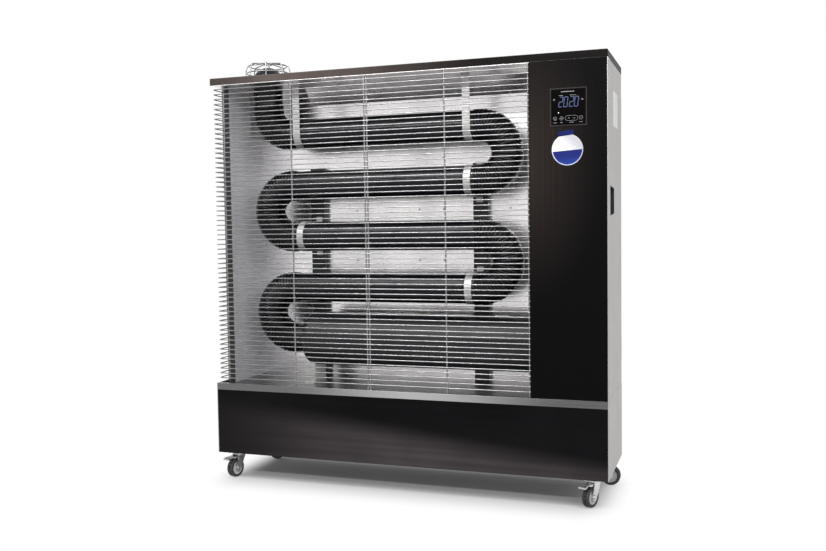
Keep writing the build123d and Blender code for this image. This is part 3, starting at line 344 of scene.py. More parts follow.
def build_edge_group():
    """Rounded shading at sheet edges, and a broken mask of edges that get a painted highlight and some wear."""
    group, given, out = new_group(
        "sheet_edges",
        {"Width": ("NodeSocketFloat", 0.0008)},
        {"Normal": "NodeSocketVector", "Edge": "NodeSocketFloat"},
    )
    soft = add_node(group, "ShaderNodeBevel", {"Radius": given.outputs["Width"]}, samples=4).outputs[0]
    flat = add_node(group, "ShaderNodeNewGeometry").outputs["Normal"]
    broken = noise(group, object_place(group), 60.0, 4.0)
    edge = remap(group, vector_maths(group, "DOT_PRODUCT", soft, flat), 0.995, 0.9)
    # The edge mask marks a painted highlight along edges, broken up by noise, with some wear.
    wear_and_highlight = maths(group, "MULTIPLY", edge, remap(group, broken, 0.3, 0.6, 0.35, 1.0))
    group.links.new(soft, out.inputs["Normal"])
    group.links.new(wear_and_highlight, out.inputs["Edge"])
    return group


def build_dust_group():
    """Dust that settles on faces that look up: the upward share of the normal times a slow noise."""
    group, given, out = new_group(
        "settled_dust", {"Amount": ("NodeSocketFloat", 0.3)}, {"Dust": "NodeSocketFloat"}
    )
    normal = add_node(group, "ShaderNodeNewGeometry").outputs["Normal"]
    up = add_node(group, "ShaderNodeSeparateXYZ", {0: normal}).outputs["Z"]
    patches = remap(group, noise(group, object_place(group), 25.0, 5.0), 0.35, 0.7)
    settled = maths(group, "MULTIPLY", remap(group, up, 0.5, 1.0), patches)
    group.links.new(maths(group, "MULTIPLY", settled, given.outputs["Amount"]), out.inputs["Dust"])
    return group


grain_group = build_grain_group()
cloud_group = build_cloud_group()
edge_group = build_edge_group()
dust_group = build_dust_group()


class Surface:
    """A material under construction: its tree, its Principled shader and the colour so far."""

    def __init__(self, name, colour, roughness, metallic=0.0, **shader):
        self.material = bpy.data.materials.new(name)
        self.material.use_nodes = True
        self.tree = self.material.node_tree
        self.shader = self.tree.nodes["Principled BSDF"]
        self.shader.inputs["Metallic"].default_value = metallic
        for key, value in shader.items():
            self.shader.inputs[key.replace("_", " ").title().replace("Ior", "IOR")].default_value = value
        self.colour = (*colour, 1.0)
        self.roughness = roughness
        self.height = None
        self.normal = None

    def group(self, group, **values):
        """Puts a shared group into the tree with its input values, and gives back its outputs."""
        node = self.tree.nodes.new("ShaderNodeGroup")
        node.node_tree = group
        for key, value in values.items():
            node.inputs[key].default_value = value
        return node.outputs

    def tint(self, mask, colour, share=1.0):
        """Mixes a colour in where the mask is high."""
        factor = maths(self.tree, "MULTIPLY", mask, share)
        mix = self.tree.nodes.new("ShaderNodeMix")
        mix.data_type = "RGBA"
        self.tree.links.new(factor, mix.inputs[0])
        for socket, value in ((mix.inputs[6], self.colour), (mix.inputs[7], (*colour, 1.0))):
            if isinstance(value, bpy.types.NodeSocket):
                self.tree.links.new(value, socket)
            else:
                socket.default_value = value
        self.colour = mix.outputs[2]
        return self

    def painted_light_spot(self, middle, spread):
        """A soft mask for painted light: 1 at a point of the object, down to 0 at a distance of 1 / spread along
        each axis.
        """
        away = vector_maths(self.tree, "SUBTRACT", object_place(self.tree), middle)
        reach = vector_maths(self.tree, "LENGTH", vector_maths(self.tree, "MULTIPLY", away, spread))
        return remap(self.tree, reach, 1.0, 0.0)

    def axes(self):
        """The X, Y and Z of the shaded point in the piece's own coordinates."""
        return add_node(self.tree, "ShaderNodeSeparateXYZ", {0: object_place(self.tree)}).outputs

    def rough(self, mask, change):
        """Adds change times the mask to the roughness."""
        step = maths(self.tree, "MULTIPLY", mask, change)
        self.roughness = maths(self.tree, "ADD", step, self.roughness)
        return self

    def raise_by(self, mask, amount):
        """Adds amount times the mask to the height that the bump reads."""
        step = maths(self.tree, "MULTIPLY", mask, amount)
        self.height = step if self.height is None else maths(self.tree, "ADD", step, self.height)
        return self

    def finish(self, distance=0.001, strength=1.0):
        """Feeds the shader: colour, roughness, and a bump that starts from the rounded edge normal."""
        for name, value in (("Base Color", self.colour), ("Roughness", self.roughness)):
            if isinstance(value, bpy.types.NodeSocket):
                self.tree.links.new(value, self.shader.inputs[name])
            else:
                self.shader.inputs[name].default_value = value
        if self.height is not None:
            inputs = {"Height": self.height, "Distance": distance, "Strength": strength}
            bump = add_node(self.tree, "ShaderNodeBump", inputs)
            if self.normal is not None:
                self.tree.links.new(self.normal, bump.inputs["Normal"])
            self.tree.links.new(bump.outputs[0], self.shader.inputs["Normal"])
        elif self.normal is not None:
            self.tree.links.new(self.normal, self.shader.inputs["Normal"])
        return self.material


def brushed_sheet(name, colour, streak_colour, roughness, metallic, stretch):
    """Sheet metal with grain along one way, slow unevenness, and rounded edges that catch the light, with a
    painted highlight on them.
    """
    surface = Surface(name, colour, roughness, metallic)
    grain = surface.group(grain_group, Stretch=stretch)
    cloud = surface.group(cloud_group)
    edge = surface.group(edge_group, Width=0.0008)
    surface.tint(grain["Streak"], streak_colour, 0.7)
    surface.tint(cloud["Cloud"], streak_colour, 0.35)
    # Edges tinted lighter: a painted highlight, partly wear.
    surface.tint(edge["Edge"], tuple(min(1.0, 3 * c + 0.02) for c in streak_colour), 0.5)
    surface.rough(grain["Fine"], 0.12).rough(cloud["Cloud"], 0.06)
    surface.raise_by(grain["Fine"], 0.00003).raise_by(cloud["Cloud"], 0.0004)
    surface.normal = edge["Normal"]
    return surface.finish(distance=0.6)


def make_dark_front():
    """Brushed near-black sheet with vertical grain and a painted brown reflection that lightens its middle."""
    surface = Surface("dark_front", (0.0016, 0.0015, 0.002), 0.36, 0.0, specular_ior_level=0.035)
    grain = surface.group(grain_group, Stretch=(1.0, 1.0, 0.006), Size=2600.0)
    cloud = surface.group(cloud_group, Size=4.0)
    edge = surface.group(edge_group, Width=0.0009)
    # Painted reflection: a lighter, browner patch over the middle of the front.
    surface.tint(surface.painted_light_spot((0.34, 0.0, 0.82), (5.4, 0.0, 2.7)), (0.022, 0.0165, 0.0145))
    surface.tint(grain["Streak"], (0.004, 0.0035, 0.0035), 0.35)
    surface.tint(grain["Fine"], (0.003, 0.0028, 0.0028), 0.3)
    # Edges tinted lighter: a painted highlight, partly wear.
    surface.tint(edge["Edge"], (0.09, 0.085, 0.08), 0.6)
    surface.rough(grain["Fine"], 0.16)
    surface.raise_by(grain["Fine"], 0.00003).raise_by(cloud["Cloud"], 0.0003)
    surface.normal = edge["Normal"]
    return surface.finish(distance=0.6)


def make_gloss_base():
    """Gloss near-black paint with faint orange peel and dust specks, and a painted grey reflection of the floor.

    The painted reflection of the floor fills the sheet where height + slope * x lies under a line, and grows from
    the left end inwards.
    """
    line_slope, line_high, line_low = 0.11, 182 * mm, 112 * mm
    painted_reflection_left, painted_reflection_right, least_painted_reflection = -600 * mm, 80 * mm, 0.08
    surface = Surface("gloss_base", (0.002, 0.0019, 0.0024), 0.14, 0.0, specular_ior_level=0.05)
    cloud = surface.group(cloud_group, Size=5.0)
    grain = surface.group(grain_group, Stretch=(0.02, 1.0, 1.0), Size=700.0)
    edge = surface.group(edge_group, Width=0.0008)
    axes = surface.axes()
    rise = maths(surface.tree, "MULTIPLY", axes["X"], line_slope)
    below = remap(surface.tree, maths(surface.tree, "ADD", axes["Z"], rise), line_high, line_low)
    inward = remap(surface.tree, axes["X"], painted_reflection_left, painted_reflection_right, least_painted_reflection, 1.0)
    # Painted reflection of the floor: grey-brown, low on the sheet and stronger towards the left.
    surface.tint(maths(surface.tree, "MULTIPLY", below, inward), (0.054, 0.046, 0.047))
    surface.tint(cloud["Cloud"], (0.008, 0.007, 0.008), 0.3)
    surface.tint(grain["Streak"], (0.006, 0.0055, 0.006), 0.25)
    # Edges tinted lighter: a painted highlight, partly wear.
    surface.tint(edge["Edge"], (0.07, 0.065, 0.065), 0.5)
    surface.rough(cloud["Cloud"], 0.10).rough(cloud["Speck"], 0.2)
    surface.raise_by(cloud["Cloud"], 0.0004).raise_by(cloud["Speck"], 0.00001)
    surface.normal = edge["Normal"]
    return surface.finish(distance=0.5)


def make_strip():
    """Brushed grey strip and deck, with a painted highlight over the middle of its length."""
    surface = Surface("deck_strip", (0.11, 0.108, 0.11), 0.24, 0.85)
    grain = surface.group(grain_group, Stretch=(0.012, 1.0, 1.0))
    edge = surface.group(edge_group, Width=0.0008)
    # Painted highlight: the strip is much lighter over the middle of its length.
    surface.tint(surface.painted_light_spot((0.04, 0.0, 0.26), (2.6, 0.0, 0.0)), (0.44, 0.435, 0.44))
    surface.tint(grain["Streak"], (0.26, 0.255, 0.26), 0.25)
    # Edges tinted lighter: a painted highlight, partly wear.
    surface.tint(edge["Edge"], (0.7, 0.7, 0.7), 0.4)
    surface.rough(grain["Fine"], 0.1)
    surface.raise_by(grain["Fine"], 0.00003)
    surface.normal = edge["Normal"]
    return surface.finish(distance=0.6)


def make_top_brown():
    """Dark brown-black paint; the front edge carries a painted brown sheen that grows towards the left."""
    surface = Surface("top_brown", (0.0035, 0.0028, 0.0026), 0.34, 0.0, specular_ior_level=0.05)
    grain = surface.group(grain_group, Stretch=(0.012, 1.0, 1.0))
    cloud = surface.group(cloud_group)
    edge = surface.group(edge_group, Width=0.0015)
    # Painted sheen: the front face of the top plate is lighter and browner towards the left.
    front = remap(surface.tree, surface.axes()["Y"], -133.0 * mm, -134.5 * mm)
    left = surface.painted_light_spot((-0.30, 0.0, 0.0), (1.8, 0.0, 0.0))
    surface.tint(maths(surface.tree, "MULTIPLY", front, left), (0.085, 0.068, 0.062))
    surface.tint(cloud["Cloud"], (0.008, 0.006, 0.0055), 0.35)
    # Edges tinted lighter: a painted highlight along the top edge, partly wear.
    surface.tint(edge["Edge"], (0.24, 0.225, 0.22), 0.6)
    surface.rough(grain["Fine"], 0.12)
    surface.raise_by(grain["Fine"], 0.00003).raise_by(cloud["Cloud"], 0.0004)
    surface.normal = edge["Normal"]
    return surface.finish(distance=0.6)


def make_pipe_black():
    """Gloss heat-proof black, a little rougher in long patches, with faint drawing lines."""
    surface = Surface("pipe_black", (0.002, 0.002, 0.0035), 0.12, 0.0, specular_ior_level=0.24)
    grain = surface.group(grain_group, Stretch=(0.03, 1.0, 1.0), Size=500.0)
    cloud = surface.group(cloud_group, Size=14.0)
    surface.tint(cloud["Cloud"], (0.008, 0.0075, 0.009), 0.6)
    surface.rough(grain["Streak"], 0.12).rough(cloud["Cloud"], 0.1)
    surface.raise_by(cloud["Cloud"], 0.0002).raise_by(grain["Fine"], 0.00002)
    return surface.finish(distance=0.5)


def make_bend_black():
    """The pleated bends: the same black, duller and dustier in the folds."""
    surface = Surface("bend_black", (0.0015, 0.0015, 0.0025), 0.16, 0.0, specular_ior_level=0.3)
    cloud = surface.group(cloud_group, Size=20.0)
    dust = surface.group(dust_group, Amount=0.04)
    surface.tint(cloud["Cloud"], (0.008, 0.0075, 0.008), 0.6)
    surface.tint(dust["Dust"], (0.16, 0.15, 0.14))
    surface.rough(cloud["Cloud"], 0.15)
    surface.raise_by(cloud["Speck"], 0.00004).raise_by(cloud["Cloud"], 0.0002)
    return surface.finish(distance=0.5)


def make_chamber_black():
    """The combustion chamber: satin black with long paler streaks along its length."""
    surface = Surface("chamber_black", (0.004, 0.004, 0.0055), 0.2, 0.0, specular_ior_level=0.3)
    grain = surface.group(grain_group, Stretch=(0.06, 1.0, 1.0), Size=260.0)
    cloud = surface.group(cloud_group, Size=9.0)
    surface.tint(grain["Streak"], (0.03, 0.03, 0.033), 0.45)
    surface.tint(cloud["Cloud"], (0.014, 0.013, 0.014), 0.5)
    surface.rough(grain["Streak"], 0.15).rough(cloud["Cloud"], 0.1)
    surface.raise_by(cloud["Cloud"], 0.0004).raise_by(grain["Fine"], 0.00003)
    return surface.finish(distance=0.5)


def make_reflector(name, colour, other, roughness, metallic, wave, stretch=(0.02, 1.0, 1.0)):
    """Reflector sheet with slow waves, faint rolling lines and smears; the rougher, the more satin it is."""
    surface = Surface(name, colour, roughness, metallic)
    cloud = surface.group(cloud_group, Size=3.2)
    grain = surface.group(grain_group, Stretch=stretch, Size=500.0)
    surface.tint(cloud["Cloud"], other, 0.6)
    surface.tint(grain["Streak"], tuple(0.94 * c for c in other), 0.3)
    surface.tint(cloud["Speck"], tuple(0.7 * c for c in other), 0.12)
    surface.rough(cloud["Cloud"], 0.09).rough(grain["Streak"], 0.03)
    surface.raise_by(cloud["Cloud"], wave).raise_by(grain["Fine"], 0.000002)
    return surface.finish(distance=0.5)


def make_galvanised():
    """Zinc-coated strip with a spangle of flat crystals and dull patches."""
    surface = Surface("galvanised", (0.50, 0.50, 0.49), 0.36, 0.85)
    cloud = surface.group(cloud_group, Size=18.0)
    cells = {"Vector": object_place(surface.tree), "Scale": 160.0}
    spangle = add_node(surface.tree, "ShaderNodeTexVoronoi", cells).outputs["Color"]
    crystal = add_node(surface.tree, "ShaderNodeSeparateColor", {0: spangle}).outputs[0]
    edge = surface.group(edge_group, Width=0.0005)
    surface.tint(crystal, (0.64, 0.64, 0.62), 0.5)
    surface.tint(cloud["Cloud"], (0.36, 0.355, 0.34), 0.4)
    surface.rough(crystal, 0.14).rough(cloud["Cloud"], 0.1)
    surface.raise_by(cloud["Speck"], 0.00004)
    surface.normal = edge["Normal"]
    return surface.finish(distance=0.5)


def make_plain(name, colour, other, roughness, metallic=0.0, size=20.0, speckle=0.0001, **shader):
    """A small plain part: two shades in slow patches, uneven gloss, a fine skin texture and soft edges."""
    surface = Surface(name, colour, roughness, metallic, **shader)
    cloud = surface.group(cloud_group, Size=size)
    edge = surface.group(edge_group, Width=0.0004)
    surface.tint(cloud["Cloud"], other, 0.8)
    # Edges tinted lighter: a painted highlight, partly wear.
    surface.tint(edge["Edge"], tuple(min(1.0, 2 * c + 0.02) for c in other), 0.25)
    surface.rough(cloud["Cloud"], 0.12)
    surface.raise_by(cloud["Speck"], speckle)
    surface.normal = edge["Normal"]
    return surface.finish(distance=0.5)


def make_wire_chrome():
    """Bright plated wire with faint dull runs along it."""
    surface = Surface("wire_chrome", (0.30, 0.298, 0.305), 0.16, 1.0)
    cloud = surface.group(cloud_group, Size=30.0)
    surface.tint(cloud["Cloud"], (0.22, 0.218, 0.225), 0.7)
    surface.rough(cloud["Cloud"], 0.14)
    surface.raise_by(cloud["Speck"], 0.00002)
    return surface.finish(distance=0.5)


def make_glow(name, colour, strength):
    """Ink or a lit segment: a plain colour with a little light of its own and a fine print texture."""
    surface = Surface(name, colour, 0.35)
    surface.shader.inputs["Emission Color"].default_value = (*colour, 1.0)
    surface.shader.inputs["Emission Strength"].default_value = strength
    cloud = surface.group(cloud_group, Size=200.0)
    surface.tint(cloud["Cloud"], tuple(0.75 * c for c in colour), 0.6)
    surface.rough(cloud["Cloud"], 0.1).raise_by(cloud["Speck"], 0.00001)
    return surface.finish(distance=0.2)


badge_middle = (427.2 * mm, 844.4 * mm)
badge_radius = 36.5 * mm


def make_badge():
    """The round sticker: pale above a line, blue below it, with a thin pale rim and a slow grey shade."""
    surface = Surface("badge_print", (0.62, 0.62, 0.65), 0.3, specular_ior_level=0.2)
    tree = surface.tree
    away = vector_maths(tree, "SUBTRACT", object_place(tree), (badge_middle[0], 0, badge_middle[1]))
    flat = vector_maths(tree, "MULTIPLY", away, (1, 0, 1))
    reach = vector_maths(tree, "LENGTH", flat)
    axes = add_node(tree, "ShaderNodeSeparateXYZ", {0: flat}).outputs
    level = maths(tree, "ADD", axes["Z"], maths(tree, "MULTIPLY", axes["X"], -0.06))
    below = remap(tree, level, -1.2 * mm, -2.2 * mm)
    inside = remap(tree, reach, 0.945 * badge_radius, 0.93 * badge_radius)
    shade = remap(tree, maths(tree, "ADD", axes["X"], axes["Z"]), -10 * mm, 45 * mm)
    surface.tint(shade, (0.34, 0.34, 0.36), 0.8)
    lower_rim = remap(tree, level, 14 * mm, -22 * mm)
    rim = maths(tree, "MULTIPLY", lower_rim, remap(tree, reach, 34.5 * mm, 36 * mm))
    surface.tint(rim, (0.16, 0.19, 0.36), 0.8)
    surface.tint(maths(tree, "MULTIPLY", below, inside), (0.004, 0.010, 0.115))
    lower = remap(tree, level, -12 * mm, -34 * mm)
    surface.tint(maths(tree, "MULTIPLY", lower, inside), (0.010, 0.04, 0.24), 0.7)
    cloud = surface.group(cloud_group, Size=60.0)
    surface.rough(cloud["Cloud"], 0.08).raise_by(cloud["Cloud"], 0.00003)
    return surface.finish(distance=0.3)


vertical_grain = (1.0, 1.0, 0.012)
long_grain = (0.012, 1.0, 1.0)
finish = {
    "dark_front": make_dark_front(),
    "gloss_base": make_gloss_base(),
    "silver_side": brushed_sheet(
        "silver_side", (0.315, 0.306, 0.302), (0.39, 0.38, 0.372), 0.3, 0.9, vertical_grain
    ),
    "strip": make_strip(),
    "top": make_top_brown(),
    "reflector": make_reflector("mirror_sheet", (0.98, 0.955, 0.955), (0.95, 0.915, 0.915), 0.2, 1.0, 0.0022),
    "galvanised": make_galvanised(),
    "inner_black": make_plain("inner_black", (0.012, 0.012, 0.013), (0.028, 0.027, 0.027), 0.42),
    "pipe_black": make_pipe_black(),
    "chrome_wire": make_wire_chrome(),
    "tank": make_plain("tank_coat", (0.16, 0.17, 0.18), (0.22, 0.225, 0.23), 0.45, size=10.0),
    "bare_steel": brushed_sheet("bare_steel", (0.42, 0.42, 0.42), (0.55, 0.55, 0.54), 0.36, 0.9, long_grain),
    "black_plastic": make_plain("black_plastic", (0.014, 0.014, 0.015), (0.024, 0.024, 0.025), 0.4),
    "panel_frame": make_plain(
        "panel_frame", (0.018, 0.014, 0.0135), (0.030, 0.024, 0.023), 0.38, specular_ior_level=0.1
    ),
    "panel_gloss": make_plain(
        "panel_gloss", (0.0018, 0.0016, 0.0018), (0.003, 0.0022, 0.0024), 0.06, size=6.0, speckle=0.000005,
        specular_ior_level=0.03,
    ),
    "board": make_plain("board_green", (0.01, 0.09, 0.035), (0.015, 0.14, 0.05), 0.35),
    "line": make_plain("copper_line", (0.60, 0.28, 0.14), (0.40, 0.18, 0.10), 0.3, 1.0),
    "cap_red": make_plain("cap_red", (0.33, 0.02, 0.015), (0.42, 0.035, 0.02), 0.3),
    "zinc": make_plain("bright_zinc", (0.66, 0.665, 0.66), (0.48, 0.49, 0.49), 0.22, 1.0, size=40.0),
    "wheel": make_plain("tyre_rubber", (0.014, 0.014, 0.015), (0.03, 0.03, 0.031), 0.55, size=40.0),
}
bend_black = make_bend_black()
chamber_black = make_chamber_black()
hub_grey = make_plain("hub_grey", (0.38, 0.38, 0.37), (0.50, 0.50, 0.48), 0.4, 0.0)
tread_grey = make_plain("tread_grey", (0.10, 0.10, 0.105), (0.16, 0.16, 0.165), 0.6, 0.0, size=60.0)
digit_blue = make_glow("digit_blue", (0.018, 0.034, 0.11), 0.1)
ink_white = make_glow("ink_white", (0.22, 0.215, 0.22), 0.05)
badge_print = make_badge()
ribbon_blue = make_plain(
    "ribbon_blue", (0.004, 0.008, 0.075), (0.006, 0.015, 0.12), 0.3, size=30.0, specular_ior_level=0.1
)
label_pale = make_plain("label_pale", (0.66, 0.655, 0.65), (0.60, 0.595, 0.585), 0.35, size=12.0)

for entry in frame["record"]["subparts"]:
    mesh = nodes[entry["node"]].data
    mesh.materials.clear()
    mesh.materials.append(finish[entry["material_slot"]])
satin_liner = make_reflector(
    "satin_liner", (0.62, 0.62, 0.66), (0.78, 0.78, 0.81), 0.5, 0.35, 0.0008, (1.0, 1.0, 0.02)
)
for node, material in (("combustion_chamber", chamber_black), ("side_reflector", satin_liner)):
    nodes[node].data.materials[0] = material


# Guard: 61 round wires bent round the left front corner
def guard_wires():
    """Each wire is one path at its own height: along the front, round the corner, back along the side."""
    front_y = wires_low.y + wire_radius
    left_x = wires_low.x + wire_radius
    path = rounded_path(
        [(wires_high.x, front_y, 0), (left_x, front_y, 0), (left_x, wires_high.y, 0)], wire_bend
    )
    heights = np.linspace(wires_low.z + wire_radius, wires_high.z - wire_radius, wire_count)
    parts = []
    for height in heights:
        points, faces = tube(path + np.array([0, 0, height]), wire_radius, 10, (0, 0, 1))
        parts.append((points, faces))
    make_piece(
        "guard_round_wires", parts, finish["chrome_wire"], "root", replaced=("guard_wires",)
    )


# Pleated bends
def pleated_bend(name, centre, side, start, sweep, node):
    """A pleated tube about an arc in the XZ plane, with a smooth collar at each end.

    At distance s along the arc the section is a circle of radius valley + depth * |sin(pi s / pitch)|^0.75.
    Valleys are deeper on the inner side of the arc, where the sheet gathers, and each fold differs a little.
    """
    length = math.radians(abs(sweep)) * bend_radius
    pitch = math.pi * bend_radius / pleats_per_half_turn
    straight = 1.5 * pitch
    along = np.concatenate([
        np.linspace(-bend_lead, -straight, 4, endpoint=False),
        np.linspace(-straight, length + straight, int(round((length + 2 * straight) / pitch * 8)) + 1),
        np.linspace(length + bend_lead, length + straight, 4, endpoint=False)[::-1],
    ])
    turn = math.copysign(1, sweep)
    angle = np.radians(start + sweep * np.clip(along / length, 0, 1))
    tangent = np.stack([side * np.cos(angle), 0 * angle, -np.sin(angle)], -1) * turn
    outward = np.stack([side * np.sin(angle), 0 * angle, np.cos(angle)], -1)
    ahead = np.minimum(along, 0) + np.maximum(along - length, 0)
    middle = np.array([centre[0], 0, centre[1]]) + bend_radius * outward + tangent * ahead[:, None]
    around = np.linspace(0, 2 * math.pi, 60, endpoint=False)
    rng = np.random.default_rng(int(1000 * abs(centre[0] + centre[1])))
    count = np.floor(along / pitch).astype(int)
    uneven = 1 - 0.25 * rng.random(200)[count + 20]
    fold = np.abs(np.sin(math.pi * along / pitch)) ** 0.75
    inner = (1 - np.cos(around)) / 2
    crest = (crest_radius - valley_radius) * uneven
    depth = crest[:, None] * np.ones_like(inner)[None]
    gather = (1 - fold)[:, None] * inner[None] * 1.6 * mm
    radius = valley_radius + depth * fold[:, None] - gather
    smooth = (along < -straight - 1e-9) | (along > length + straight + 1e-9)
    radius = np.where(smooth[:, None], collar_radius, radius)
    cos_t, sin_t = np.cos(around)[None, :, None], np.sin(around)[None, :, None]
    y_axis = np.array([0.0, 1.0, 0.0])
    points = middle[:, None] + radius[:, :, None] * (cos_t * outward[:, None] + sin_t * y_axis)
    first, last = points[:1] * 1.0, points[-1:] * 1.0
    lip = (pipe_radius + 0.05 * mm) / collar_radius
    first = middle[0] + (first - middle[0]) * lip
    last = middle[-1] + (last - middle[-1]) * lip
    points = np.concatenate([first, points, last])
    make_piece(name, [(points, grid_faces(len(points), len(around)))], bend_black, "root",
               sharp=80, replaced=(node,))


# Flue cage
def flue_cage():
    """Eight ribs that rise and close over the flue, and four hoops: three inside the ribs and a hub."""
    top = cage_high.z - cage_wire
    foot_radius, shoulder_radius, hub_radius = 60 * mm, 54.5 * mm, 12 * mm
    inset = 2 * cage_wire
    profile = rounded_path(
        [
            (foot_radius, 0, cage_low.z),
            (foot_radius, 0, sheet_top + 34 * mm),
            (shoulder_radius, 0, top - 6 * mm),
            (hub_radius, 0, top),
        ],
        radius=6 * mm,
        steps=5,
    )
    parts = []
    for degrees in np.arange(22.5, 360, 45):
        angle = math.radians(degrees)
        turn = np.array([[math.cos(angle), 0, 0], [math.sin(angle), 0, 0], [0, 0, 1]])
        path = profile @ turn.T + np.array([flue_x, 0, 0])
        parts.append(tube(path, cage_wire, 10, (-math.sin(angle), math.cos(angle), 0)))
    hoops = (
        (foot_radius - inset, sheet_top + 6 * mm),
        (foot_radius - inset, sheet_top + 26 * mm),
        (shoulder_radius - inset, top - 8 * mm),
        (hub_radius, top - inset),
    )
    for radius, height in hoops:
        ring = ring_path((flue_x, 0, height), radius, 56)
        parts.append(tube(ring, cage_wire, 10, (0, 0, 1), closed=True))
    make_piece(
        "flue_round_cage", parts, finish["chrome_wire"], "root", replaced=("flue_cage",)
    )


# Casters
def caster_wheel(corner):
    """A tyre with a rounded shoulder and a flat tread band, and a hub of two dished faces with a boss."""
    place = np.array(joint[f"roll_{corner}"]["pos_m"])
    axis = np.array(joint[f"roll_{corner}"]["axis"])
    w, r = wheel_half_width, wheel_radius
    shoulder = np.linspace(0, math.pi / 2, 7)
    rim = 3.2 * mm
    right_side = [(r - rim + rim * math.sin(a), w - rim + rim * math.cos(a)) for a in shoulder]
    tyre = [(r - 7.5 * mm, w - 1.2 * mm), (r - 7.0 * mm, w - 0.2 * mm), (r - 6.2 * mm, w)] + right_side
    tyre = tyre + [(x, -h) for x, h in reversed(tyre)] + [(r - 7.5 * mm, w - 1.2 * mm)]
    make_piece(f"tyre_{corner}", [lathe(tyre, place, axis, 64)], finish["wheel"], f"wheel_{corner}",
               replaced=(f"caster_wheel_{corner}",))
    band = [(r - 0.3 * mm, -4.4 * mm), (r + 0.0, -4.0 * mm), (r + 0.0, 4.0 * mm), (r - 0.3 * mm, 4.4 * mm)]
    make_piece(f"tread_{corner}", [lathe(band + [band[0]], place, axis, 64)], tread_grey,
               f"wheel_{corner}")
    dish = [(3.3 * mm, 10.1 * mm), (6.6 * mm, 10.1 * mm), (7.0 * mm, 9.7 * mm), (7.0 * mm, w - 2.4 * mm),
            (9.0 * mm, w - 3.0 * mm), (15.0 * mm, w - 3.0 * mm), (16.6 * mm, w - 1.6 * mm),
            (17.6 * mm, w - 1.2 * mm)]
    hub = dish + [(x, -h) for x, h in reversed(dish)] + [dish[0]]
    make_piece(f"hub_{corner}", [lathe(hub, place, axis, 64)], hub_grey, f"wheel_{corner}")


# Display and keys
digit_segments = {"2": "abged", "0": "abcdef"}


def bar(start, end, width, y):
    """One lit bar of a digit: a six-cornered plate between two points, pointed at both ends."""
    start, end = np.array(start, float), np.array(end, float)
    run = unit(end - start)
    side = np.array([-run[1], run[0]]) * width / 2
    tip = run * width / 2
    outline = [start, start + tip + side, end - tip + side, end, end - tip - side, start + tip - side]
    return plate(outline, on_front(y), (0, -1, 0), 0.06 * mm, 0.02 * mm)


def display_digits():
    """Four seven-bar digits, leaning a little, drawn from named corners of each digit's box."""
    bottom, height, width, lean = 943.4 * mm, 22.4 * mm, 8.2 * mm, 0.12
    parts = []
    for digit, left in zip("2020", (407.4 * mm, 418.7 * mm, 432.2 * mm, 443.2 * mm)):
        def corner(across, up):
            """A point of the digit's box at these shares across and up, moved right by lean times its height."""
            return (left + across * width + lean * up * height, bottom + up * height)
        lines = {
            "a": (corner(0, 1), corner(1, 1)), "b": (corner(1, 1), corner(1, 0.5)),
            "c": (corner(1, 0.5), corner(1, 0)), "d": (corner(0, 0), corner(1, 0)),
            "e": (corner(0, 0.5), corner(0, 0)), "f": (corner(0, 1), corner(0, 0.5)),
            "g": (corner(0, 0.5), corner(1, 0.5)),
        }
        parts += [bar(*lines[letter], 2.1 * mm, window_face) for letter in digit_segments[digit]]
    make_piece("display_digits", parts, digit_blue, "root")


def stroke(points, width, y, closed=False):
    """A printed line on a front face: a flat tube of 0.05 mm along (x, z) points."""
    path = np.array([(x, y, z) for x, z in points])
    return tube(path, width / 2, 8, (0, 1, 0), closed=closed, flat=0.05 * mm)


def arc_points(centre, radius, start, end, steps=16):
    """Points on an arc between two angles in degrees."""
    angle = np.radians(np.linspace(start, end, steps))
    return [(centre[0] + radius * math.cos(a), centre[1] + radius * math.sin(a)) for a in angle]


def dash(x, half, z, width, y):
    """A level printed line on a front face, half its length to each side of x, given in mm."""
    return stroke([((x - half) * mm, z * mm), ((x + half) * mm, z * mm)], width * mm, y)


def display_marks():
    """Small plain marks on the window: bars over the digits, a lamp, side marks and the rocker outline."""
    y = window_face
    marks = [dash(428.5, 15.5, 978, 1.6, y), dash(413, 5, 969.6, 0.8, y), dash(441, 7, 969.6, 0.8, y)]
    for x, z in ((397.2, 960.6), (462.1, 958.6)):
        ring = arc_points((x * mm, z * mm), 1.6 * mm, 20, 380, 12)[:-1]
        marks += [stroke(ring, 0.7 * mm, y, closed=True), dash(x, 2.4, z, 0.6, y)]
    outline = rounded_rectangle((422.6 * mm, 911.3 * mm), (451.9 * mm, 922.7 * mm), 5.6 * mm, 8)
    marks.append(stroke(outline, 0.5 * mm, y, closed=True))
    for x, half in ((399.1, 4.6), (414.0, 3.2), (437.2, 5.4), (459.0, 3.8)):
        marks.append(dash(x, half, 907.3, 0.9, y))
    make_piece("display_marks", marks, ink_white, "root")
    lamp_white = make_glow("lamp_white", (0.85, 0.88, 0.95), 1.0)
    lamp_profile = [(0, 0.25 * mm), (0.7 * mm, 0.2 * mm), (1.1 * mm, 0.0)]
    lamp = lathe(lamp_profile, (407.3 * mm, y, 930.1 * mm), (0, -1, 0), 16)
    make_piece("display_lamp", [lamp], lamp_white, "root")


